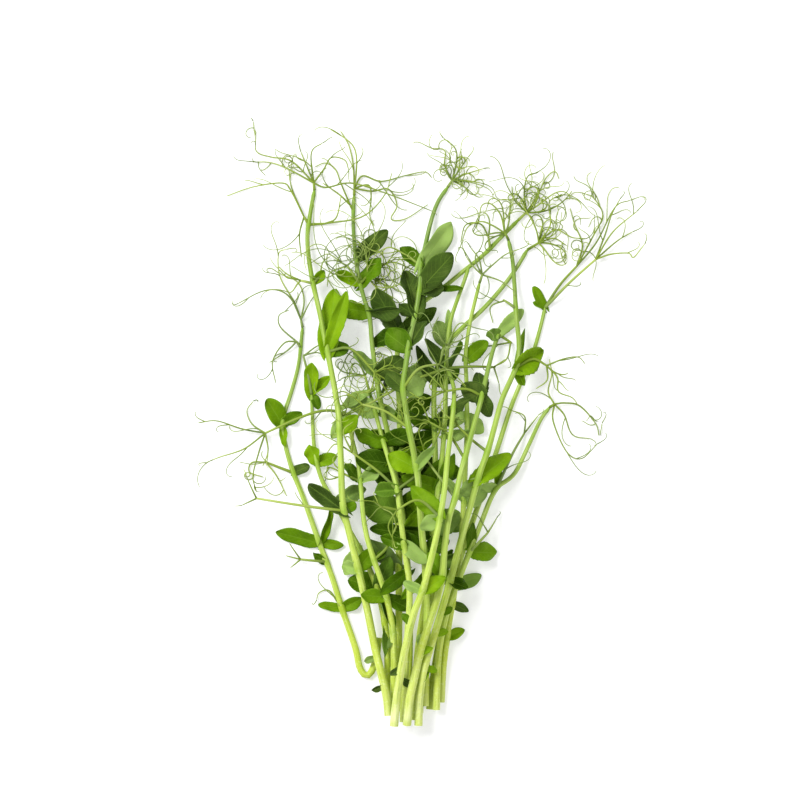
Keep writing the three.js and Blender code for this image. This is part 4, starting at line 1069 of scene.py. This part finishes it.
# %% [markdown]
# ### Tubes
# Stems and tendrils are both tubes. A curve with a bevel makes one quickly, but always with the same
# round section. Here the rings are made one by one, so a stem can have ridges and swollen joints. Each
# ring carries on the turn of the one before it, which keeps the tube from twisting.

# %% Round tubes
def tube_rings(line, radius, sides):
    """The corners of a tube's rings, and the faces between them."""
    ways = np.gradient(line, axis=0)
    ways /= np.linalg.norm(ways, axis=1)[:, None]
    side = np.cross([0, 0, 1] if abs(ways[0][2]) < 0.9 else [1, 0, 0], ways[0])
    angle = 2 * math.pi * np.arange(sides) / sides
    rings = []
    for p, way, r in zip(line, ways, radius):
        side = side - way * (side @ way)
        side = side / math.sqrt(side @ side)
        (wx, wy, wz), (sx, sy, sz) = way, side
        up = np.array([wy * sz - wz * sy, wz * sx - wx * sz, wx * sy - wy * sx])
        ring = np.cos(angle)[:, None] * side + np.sin(angle)[:, None] * up
        rings.append(p + ring * np.reshape(r, (-1, 1)))
    k = np.arange(sides)
    next_k = (k + 1) % sides
    faces = []
    for a in range(0, sides * (len(line) - 1), sides):
        faces += zip(a + k, a + next_k, a + sides + next_k, a + sides + k)
    return np.vstack(rings), faces


# %% [markdown]
# ### The stem's form
# A pea stem is round with four faint ridges, and swells a little where leaves grow. The cut end is
# flat, with a shallow hollow in the middle, and the upper end closes under the last leaf stalk.

# %% Stem form
STEM_SIDES = 16
STEM_COVER = 1.03  # how much wider than its solid a stem is, so that it hides the flat sides
RIDGES, RIDGE = 4, 0.025  # how many, and how high, as a share of the radius
SWELL, SWELL_LONG = 0.16, 2.2  # at a joint: how much, as a share of the radius, and how far
TIP_SHRINK = 0.55
CUT_RINGS = (1, 0.6, 0.3)  # from the rim of the cut face to its hollow, as shares of the radius
CUT_DEEP = (0.4, 0.5)  # how deep the hollow's edge and its middle are


def add_stem(gathered, shoot, stem, tone):
    line, flat = stem["line"], stem["flat"]
    run = SPACING * np.arange(len(line))
    swell = np.zeros(len(line))
    for joint in shoot["joints"]:
        i = int(np.argmin(np.hypot(*(line[:, :2] - joint["at"]).T)))
        swell = np.maximum(swell, np.exp(-(((run - run[i]) / SWELL_LONG) ** 2)))
    angle = 2 * math.pi * np.arange(STEM_SIDES) / STEM_SIDES
    ridges = 1 + RIDGE * np.cos(RIDGES * angle)
    radius = (flat * STEM_COVER * (1 + SWELL * swell))[:, None] * ridges
    radius[-1] *= TIP_SHRINK
    corners, faces = tube_rings(line, radius, STEM_SIDES)
    rings = len(line)
    across = np.tile(np.arange(STEM_SIDES) / STEM_SIDES, rings)
    along = np.repeat(run, STEM_SIDES)
    gathered.add(corners, faces, 0, across, along, tone, np.repeat(swell, STEM_SIDES))
    # the cut face: rim, inner ring and a shallow hollow
    centre = line[0]
    way = (line[1] - line[0]) / np.linalg.norm(line[1] - line[0])
    rim = corners[:STEM_SIDES]
    inner = centre + (rim - centre) * CUT_RINGS[1]
    hollow = centre + (rim - centre) * CUT_RINGS[2] + way * CUT_DEEP[0]
    cap = np.vstack([rim, inner, hollow, [centre + way * CUT_DEEP[1]]])
    k = np.arange(STEM_SIDES)
    j = (k + 1) % STEM_SIDES
    faces = [*zip(j, k, k + STEM_SIDES, j + STEM_SIDES)]
    faces += [*zip(j + STEM_SIDES, k + STEM_SIDES, k + 2 * STEM_SIDES, j + 2 * STEM_SIDES)]
    faces += [*zip(j + 2 * STEM_SIDES, k + 2 * STEM_SIDES, np.full(STEM_SIDES, 3 * STEM_SIDES))]
    out = np.repeat([*CUT_RINGS, 0], [STEM_SIDES] * 3 + [1])
    gathered.add(cap, faces, 1, 0, 0, tone, out)
    # the closed tip
    top = corners[-STEM_SIDES:]
    faces = [*zip(k, j, np.full(STEM_SIDES, STEM_SIDES))]
    gathered.add(np.vstack([top, [line[-1]]]), faces, 0, 0, run[-1], tone, 0)


# %% [markdown]
# ### The leaf's form
# The blade is a fine grid between two edges. It keeps the fold of its solid or folds more, waves a
# little, has a lobe on each side that clasps the stem, and teeth on the lower part of its edge, as on
# the real plant. Its two faces are 0.3 mm apart, and nearer at the edge, so light catches a real rim.
# Sculpting each leaf would look as good, but takes far longer for so many.

# %% Leaf form
ROWS, COLUMNS = 44, 10
LEAF_THICK = 0.3
LEAF_COVER = 1.06  # how much wider than its solid a leaf is
TEETH, TOOTH = 8, 0.24  # how many on an edge, and the largest, as a share of the half width
WAVE, EDGE_WAVE = 0.11, 0.05  # out of the blade, per width, and along its edge, per half width
FORM_SEED = 77


def add_leaf(gathered, leaf, tone, bloom):
    draw = stream(leaf["seed"] + FORM_SEED)
    blade, width = leaf["blade"], leaf["wide"]
    lobe, teeth = draw(0.08, 0.28), draw(0, 1) ** 1.5
    widest, lean, point = draw(0.7, 1.12), draw(-0.16, 0.16), draw(0, 1) ** 2 * 0.4
    folded = 0.85 * max(0, draw(-1, 1))
    phase, waves = draw(0, 6), draw(1, 2)
    u = np.linspace(0.01, 0.992, ROWS)[:, None]
    s = np.linspace(-1, 1, COLUMNS + 1)[None]
    narrowing = 1 - point * np.clip((u - 0.5) / 0.5, 0, 1) ** 2
    half = width / 2 * LEAF_COVER * leaf_half(u**widest) * narrowing
    saw = (u * TEETH) % 1
    edge = (1 + lean * s) * (1 + TOOTH * teeth * (saw - 0.4) * np.clip(1.1 - u / 0.7, 0, 1))
    edge = edge * (1 + EDGE_WAVE * np.sin(7 * u + phase + 2 * s))
    back = u - lobe * np.abs(s) ** 1.7 * (1 - u) ** 3
    wave = WAVE * width * np.sin(waves * 6.28 * u + phase + 1.2 * s) * np.abs(s) ** 1.5
    bend = LEAF_FOLD + folded
    out = half * edge * s * math.cos(folded)
    up = bend * half * (np.sqrt(s**2 + 0.01) - 0.1) + wave
    middle = blade["rib"](back) + out[..., None] * blade["side"] + up[..., None] * blade["normal"]
    thick = LEAF_THICK / 2 * np.clip(1.15 - s**4, 0.25, 1) * np.clip((1 - u) * 6, 0.3, 1)
    thick = thick[..., None]
    top = (middle + thick * blade["normal"]).reshape(-1, 3)
    under = (middle - thick * blade["normal"]).reshape(-1, 3)
    n, wide = len(top), COLUMNS + 1
    i, k = np.meshgrid(np.arange(ROWS - 1), np.arange(COLUMNS), indexing="ij")
    a = (i * wide + k).ravel()
    upper = [*zip(a, a + wide, a + wide + 1, a + 1)]
    lower = [*zip(a + n, a + 1 + n, a + wide + 1 + n, a + wide + n)]
    ring = [*range(wide), *range(2 * wide - 1, n, wide), *range(n - 2, n - wide - 1, -1)]
    ring += [*range(n - 2 * wide, 0, -wide)]
    rim = [(c, d, d + n, c + n) for c, d in zip(ring, ring[1:] + ring[:1])]
    finish = [0] * (len(upper) + len(rim)) + [1] * len(lower)
    across = np.tile(np.broadcast_to(s, (ROWS, wide)).ravel(), 2)
    along = np.tile(np.broadcast_to(u, (ROWS, wide)).ravel(), 2)
    gathered.add(np.vstack([top, under]), upper + rim + lower, finish, across, along, tone, bloom)


# %% [markdown]
# ### The tendrils' form
# A tendril is a round thread, thinner than its solid, with a blunt tip. A bevelled curve would give the
# same form, but a mesh can carry how far along it each corner is, which its colour needs.

# %% Tendril form
# for each kind, the radius at its root and at its tip, the step between its rings, and its sides
THREADS = {"stalk": (0.64, 0.42, 0.9, 8), "tendril": (0.38, 0.2, 0.7, 6), "curl": (*CURL_R, 0.7, 6)}
BLUNT_TIP = 0.4


def add_tendril(gathered, piece, tone):
    thick, thin, step, sides = THREADS[piece["kind"]]
    line = smooth_line(piece["line"], step)
    t = np.arange(len(line)) / (len(line) - 1)
    radius = thick + (thin - thick) * t
    radius[-1] *= BLUNT_TIP
    corners, faces = tube_rings(line, radius, sides)
    last = len(corners) - sides
    faces += [tuple(range(sides))[::-1], tuple(range(last, last + sides))]
    across = np.tile(np.arange(sides) / sides, len(line))
    gathered.add(corners, faces, 0, across, np.repeat(t, sides), tone, 0)


# %% [markdown]
# ## Shader maths as Python
# A material's colour is a sum of small effects. Node by node that takes pages, so one class wraps an
# output of a node and lets it be added, multiplied and mixed as a number would be.

# %% Wires between nodes
def colour(red, green, blue):
    """The colour that a screen shows as these numbers from 0 to 255."""
    parts = [v / 255 for v in (red, green, blue)]
    return (*[v / 12.92 if v <= 0.04045 else ((v + 0.055) / 1.055) ** 2.4 for v in parts], 1)


class Wire:
    """An output of a node in a material, which Python can reckon with."""

    def __init__(self, tree, output=None):
        self.tree, self.output = tree, output

    def node(self, kind, settings=None, sockets=None, out=0):
        """A new node: its settings first, then the values or wires of its sockets."""
        made = self.tree.nodes.new("ShaderNode" + kind)
        for name, value in (settings or {}).items():
            if name == "stops":
                ramp = made.color_ramp
                while len(ramp.elements) < len(value):
                    ramp.elements.new(1)
                for element, (where, tint) in zip(ramp.elements, value):
                    element.position, element.color = where, tint
            else:
                setattr(made, name, value)
        for name, value in (sockets or {}).items():
            if isinstance(value, Wire):
                self.tree.links.new(value.output, made.inputs[name])
            else:
                made.inputs[name].default_value = value
        return Wire(self.tree, made.outputs[out] if made.outputs else None)

    def maths(self, operation, first, second):
        return self.node("Math", {"operation": operation}, {0: first, 1: second})

    def __add__(self, other):
        return self.maths("ADD", self, other)

    def __radd__(self, other):
        return self.maths("ADD", other, self)

    def __sub__(self, other):
        return self.maths("SUBTRACT", self, other)

    def __rsub__(self, other):
        return self.maths("SUBTRACT", other, self)

    def __mul__(self, other):
        return self.maths("MULTIPLY", self, other)

    def __rmul__(self, other):
        return self.maths("MULTIPLY", other, self)

    def __abs__(self):
        return self.maths("ABSOLUTE", self, 0)

    def between(self, low, high):
        """0 at low, 1 at high, and smooth between."""
        values = {"Value": self, "From Min": low, "From Max": high}
        return self.node("MapRange", {"interpolation_type": "SMOOTHSTEP"}, values)

    def mix(self, other, share):
        """This colour, with a share of the other."""
        return self.node("Mix", {"data_type": "RGBA"}, {0: share, 6: self, 7: other}, 2)


def paint(name):
    """A new empty material, and a wire to start from."""
    made = bpy.data.materials.new(name)
    made.use_nodes = True
    made.node_tree.nodes.clear()
    return made, Wire(made.node_tree)


def finish(wire, sockets):
    """The surface itself, from the values and wires of its shader."""
    shader = wire.node("BsdfPrincipled", None, sockets)
    wire.node("OutputMaterial", None, {"Surface": shader})


def number(wire, name):
    """A number that was stored with the corners of the mesh."""
    return wire.node("Attribute", {"attribute_name": name}, None, "Fac")


def place_on(wire):
    return wire.node("TexCoord", None, None, "Object")


def noise(wire, scale, detail=3, vector=None):
    sockets = {"Scale": scale, "Detail": detail, "Vector": vector or place_on(wire)}
    return wire.node("TexNoise", None, sockets)


def bump(wire, height, strength, distance):
    return wire.node("Bump", None, {"Height": height, "Strength": strength, "Distance": distance})


# %% [markdown]
# ### Stem finish
# Pale and yellowish where it was cut, greener towards the tip. Light skin streaks run along it, the
# joints are a deeper green, and the lowest part has yellow patches and light specks. The gradient
# follows the bunch's length, and the streaks follow the numbers around and along each stem that were
# stored with its corners. The cut face is palest in a ring between its green rim and its hollow.

# %% Stem finish
def stem_paint():
    made, wire = paint("pea stem skin")
    y = wire.node("SeparateXYZ", None, {0: place_on(wire)}, "Y")
    age = (y + 0.122) * 4.6 * (0.78 + 0.44 * number(wire, "tone")) + (noise(wire, 45) - 0.5) * 0.16
    stops = [
        (0, colour(226, 232, 166)),
        (0.08, colour(206, 219, 112)),
        (0.25, colour(188, 208, 90)),
        (0.45, colour(172, 198, 86)),
        (0.7, colour(142, 170, 62)),
        (1, colour(100, 132, 44)),
    ]
    skin = wire.node("ValToRGB", {"stops": stops}, {"Fac": age})
    round_and_along = {
        "X": number(wire, "across") * 9,
        "Y": number(wire, "along") * 0.05,
        "Z": number(wire, "tone") * 20,
    }
    streak = noise(wire, 1.6, 4, wire.node("CombineXYZ", None, round_and_along))
    grey = number(wire, "tone").between(0.45, 0.7) * age.between(0.45, 0.85)
    skin = skin.mix(colour(126, 154, 76), grey * 0.45)
    skin = skin.mix(colour(232, 240, 176), streak.between(0.5, 0.75) * 0.35)
    skin = skin.mix(colour(104, 144, 22), streak.between(0.52, 0.3) * 0.5)
    skin = skin.mix(colour(126, 164, 30), number(wire, "extra") * 0.6)
    height = wire.node("SeparateXYZ", None, {0: place_on(wire)}, "Z")
    patches = noise(wire, 55, 2).between(0.46, 0.62)
    yellow = patches.maths("MAXIMUM", patches, height.between(0.011, 0.004))
    skin = skin.mix(colour(172, 192, 14), age.between(0.42, 0.1) * yellow * 0.6)
    speckle = noise(wire, 1100, 2).between(0.5, 0.75) * age.between(0.5, 0.1)
    skin = skin.mix(colour(240, 244, 206), speckle * 0.25)
    finish(
        wire,
        {
            "Base Color": skin,
            "Roughness": 0.42 + streak * 0.16,
            "Specular IOR Level": 0.25,
            "Normal": bump(wire, streak, 0.25, 0.0003),
            "Subsurface Weight": 0.12,
            "Subsurface Radius": (0.002, 0.002, 0.0008),
        },
    )
    return made


def cut_paint():
    made, wire = paint("fresh cut end")
    ring = number(wire, "extra") + (noise(wire, 900) - 0.5) * 0.25
    stops = [
        (0, colour(176, 190, 118)),
        (0.35, colour(212, 220, 160)),
        (0.6, colour(236, 241, 206)),
        (0.9, colour(222, 232, 170)),
        (1, colour(190, 208, 112)),
    ]
    face = wire.node("ValToRGB", {"stops": stops}, {"Fac": ring})
    finish(
        wire,
        {
            "Base Color": face,
            "Roughness": 0.5 + noise(wire, 1500) * 0.2,
            "Normal": bump(wire, noise(wire, 2500), 0.4, 0.0002),
        },
    )
    return made


# %% [markdown]
# ### Leaf finish
# Leaves run from dark green in the shade to yellow green when young, and some have a grey bloom. The
# veins are a pale midrib, side veins that bend towards the tip, and a fine net between them. Drawing
# them as mesh would cost millions of faces, so they are in the colour and the bump. The underside is
# paler, and its veins stand out instead of lying in grooves.

# %% Leaf finish
def leaf_paint(name, pale):
    made, wire = paint(name)
    s, u, tone = number(wire, "across"), number(wire, "along"), number(wire, "tone")
    stops = [
        (0, colour(22, 46, 2)),
        (0.25, colour(42, 74, 2)),
        (0.5, colour(76, 114, 3)),
        (0.75, colour(114, 152, 8)),
        (1, colour(158, 186, 24)),
    ]
    mottle = noise(wire, 260, 5)
    cloud = noise(wire, 75, 2)
    green = tone + (mottle - 0.5) * 0.22 + (cloud - 0.5) * 0.35
    blade = wire.node("ValToRGB", {"stops": stops}, {"Fac": green})
    blade = blade.mix(colour(156, 184, 102), number(wire, "extra") * (0.45 + cloud * 0.6))
    midrib = abs(s).between(0.06, 0.01)
    rows = (u - abs(s) * 0.3) * 7.5
    side_veins = abs(rows.maths("FRACT", rows, 0) - 0.5).between(0.075, 0.015) * abs(s).between(1, 0.6)
    cells = {"Scale": 750, "Vector": place_on(wire)}
    edges = wire.node("TexVoronoi", {"feature": "DISTANCE_TO_EDGE"}, cells, "Distance")
    net = edges.between(0.12, 0.02)
    veins = midrib.maths("MAXIMUM", midrib, side_veins * 0.6)
    veins = veins.maths("MAXIMUM", veins, net * 0.14)
    blade = blade.mix(colour(144, 180, 66), veins * 0.24)
    # painted highlight: the blade is made lighter along its edge
    blade = blade.mix(colour(130, 168, 60), abs(s).between(0.93, 1) * 0.3)
    if pale:
        blade = blade.mix(colour(132, 166, 90), 0.4)
    relief = (veins if pale else 1 - veins) + mottle * 0.5 + noise(wire, 160, 2) * 6
    finish(
        wire,
        {
            "Base Color": blade,
            "Roughness": (0.55 if pale else 0.42) + mottle * 0.16,
            "Specular IOR Level": 0.25,
            "Specular Tint": (0.8, 1, 0.2, 1),
            "Normal": bump(wire, relief, 0.35, 0.00025),
            "Subsurface Weight": 0.1,
            "Subsurface Radius": (0.001, 0.0015, 0.0005),
        },
    )
    return made


# %% [markdown]
# ### Tendril finish
# Leaf stalks are the green of the upper stem, and tendrils are a softer, greyer green that is
# lightest at their tips. One finish does for both, because its colour follows the place along them.

# %% Tendril finish
def tendril_paint():
    made, wire = paint("tendril skin")
    tone = number(wire, "tone")
    age = number(wire, "along") * 0.4 + tone * 0.5 + (noise(wire, 120) - 0.5) * 0.4 + 0.05
    stops = [(0, colour(92, 116, 28)), (0.5, colour(132, 154, 54)), (1, colour(178, 194, 104))]
    skin = wire.node("ValToRGB", {"stops": stops}, {"Fac": age})
    grey = noise(wire, 18).between(0.45, 0.62)
    skin = skin.mix(colour(116, 136, 88), grey * 0.55)
    finish(
        wire,
        {
            "Base Color": skin,
            "Roughness": 0.45 + noise(wire, 400) * 0.15,
            "Specular IOR Level": 0.2,
            "Normal": bump(wire, noise(wire, 1200), 0.2, 0.0001),
        },
    )
    return made


STEM_PAINTS = [stem_paint(), cut_paint()]
LEAF_PAINTS = [leaf_paint("leaf top", False), leaf_paint("leaf underside", True)]
TENDRIL_PAINTS = [tendril_paint()]
print("finishes:", [m.name for m in STEM_PAINTS + LEAF_PAINTS + TENDRIL_PAINTS])

# %% [markdown]
# ## The look of each leaf
# Young leaves are bright, old ones dark, and a few have a grey bloom. A leaf that stands out keeps
# the look that was noted at its place. Any other gets a green by chance, plus painted light and
# painted shade: lighter at the sides of the bunch and high in it, darker low in its middle.

# %% How each leaf looks
LOOKS = {
    "young": [
        (14, -83), (6, -90), (4, -102), (-33, 46), (-28, 56), (-64, 10), (-46, 19), (-10, -15),
        (5, -66), (44, 25), (30, -53), (-39, -12), (28, -18),
    ],
    "pale": [
        (8, 74), (-6, 16), (8, 37), (-14, 4), (19, -28), (27, -26), (33, 42), (-30, 10), (-35, -58),
        (12, -4), (-4, -56), (-39, -2),
    ],
    "dark": [
        (-38, -29), (5, 61), (-12, -99), (-6, -106), (-18, -106), (-16, 49), (-12, 42), (-1, 53),
        (-20, 72), (-12, 20), (0, 30), (23, 15), (22, 8), (-45, -25),
    ],
    "fresh": [
        (-38, -74), (-27, -72), (2, -30), (-36, -42), (-50, -44), (24, -52), (4, -66), (48, 50),
        (-60, 2), (24, 27), (-28, 50),
    ],
}
TONE_AND_BLOOM = {"young": (0.72, 0), "fresh": (0.58, 0), "pale": (0.55, 1), "dark": (0.08, 0.1)}
LOOK_REACH = 8  # a leaf this near to a noted place has its look
MIDDLE_X, SIDE = -4, 45  # the middle of the bunch, and how far its sides are from there


def leaf_look(leaf, draw):
    """The tone of a leaf from dark 0 to young 1, with painted light and shade, and its bloom."""
    centre = leaf["balls"].mean(0)
    far = {kind: min(math.dist(centre[:2], spot) for spot in spots) for kind, spots in LOOKS.items()}
    kind = min(far, key=far.get)
    if far[kind] < LOOK_REACH:
        return TONE_AND_BLOOM[kind]
    # painted light and shade: lighter towards the sides of the bunch and the higher the leaf lies
    painted_light_side = min(1, abs(centre[0] - MIDDLE_X) / SIDE)
    tone = 0.02 + 0.34 * draw(0, 1) + 0.34 * painted_light_side + 0.012 * centre[2]
    return tone, max(0, draw(-2, 1))


# %% [markdown]
# ## The shoots, made
# Every shoot gets its three pieces here, and each replaces the plain solid that it stands for.

# %% Making the shoots
TONE_SEED = 900

for i, (shoot, stem, pieces) in enumerate(zip(SHOOTS, stems, grown)):
    label = shoot["name"]
    draw = stream(TONE_SEED + i)
    body, blades, lines = Gathered(), Gathered(), Gathered()
    add_stem(body, shoot, stem, draw(0, 1))
    for piece in pieces:
        if piece["kind"] == "leaf":
            add_leaf(blades, piece, *leaf_look(piece, draw))
        else:
            add_tendril(lines, piece, draw(0, 1))
    body.piece(label + ".stem", STEM_PAINTS, "stem", label)
    blades.piece(label + ".leaves", LEAF_PAINTS, "leaf", label)
    if lines.count:
        lines.piece(label + ".tendrils", TENDRIL_PAINTS, "tendril", label)
faces = sum(len(o.data.polygons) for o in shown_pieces())
print("faces in all:", faces)

# %% [markdown]
# ## Table and light
# The photograph has a plain white ground and soft light from all round. A bright sky and two large soft
# lamps give that light, one lamp stronger, so that stems have a light and a dark side. A white table
# alone would come out grey between the stems. This one glows a little, as a light table does, and still
# takes soft shadows.

# %% Table and light
TABLE_HALF, TABLE_TOP = 3, -0.0001  # in metres
SKY_STRENGTH = 0.6


def soft_lamp(name, place_m, size, watts):
    data = bpy.data.lights.new(name, "AREA")
    data.shape, data.size, data.energy = "DISK", size, watts
    lamp = bpy.data.objects.new(name, data)
    lamp.location = place_m
    lamp.rotation_euler = (-Vector(place_m)).to_track_quat("-Z", "Y").to_euler()
    bpy.context.scene.collection.objects.link(lamp)


table_mesh = bpy.data.meshes.new("table")
sides = [(-1, -1), (1, -1), (1, 1), (-1, 1)]
table_corners = [(TABLE_HALF * x, TABLE_HALF * y, TABLE_TOP) for x, y in sides]
table_mesh.from_pydata(table_corners, [], [(0, 1, 2, 3)])
table = bpy.data.objects.new("table", table_mesh)
bpy.context.scene.collection.objects.link(table)
table_paint, wire = paint("pale table")
grain = noise(wire, 30)
shades = {0: grain, 6: (0.62, 0.62, 0.62, 1), 7: (0.66, 0.66, 0.66, 1)}
white = wire.node("Mix", {"data_type": "RGBA"}, shades, 2)
glow = {"Emission Color": (1, 1, 1, 1), "Emission Strength": 0.4}
finish(wire, {"Base Color": white, "Roughness": 0.8, **glow})
table_mesh.materials.append(table_paint)
table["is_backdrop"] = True
sky = bpy.data.worlds.new("soft sky")
sky.use_nodes = True
sky.node_tree.nodes["Background"].inputs["Color"].default_value = (1, 1, 1, 1)
sky.node_tree.nodes["Background"].inputs["Strength"].default_value = SKY_STRENGTH
bpy.context.scene.world = sky
soft_lamp("left lamp", (-0.9, 0.7, 1.3), 0.8, 30)
soft_lamp("right lamp", (1.0, -0.5, 1.1), 1.0, 5)
bpy.context.scene.view_settings.view_transform = "Standard"
bpy.context.scene.view_settings.look = "None"
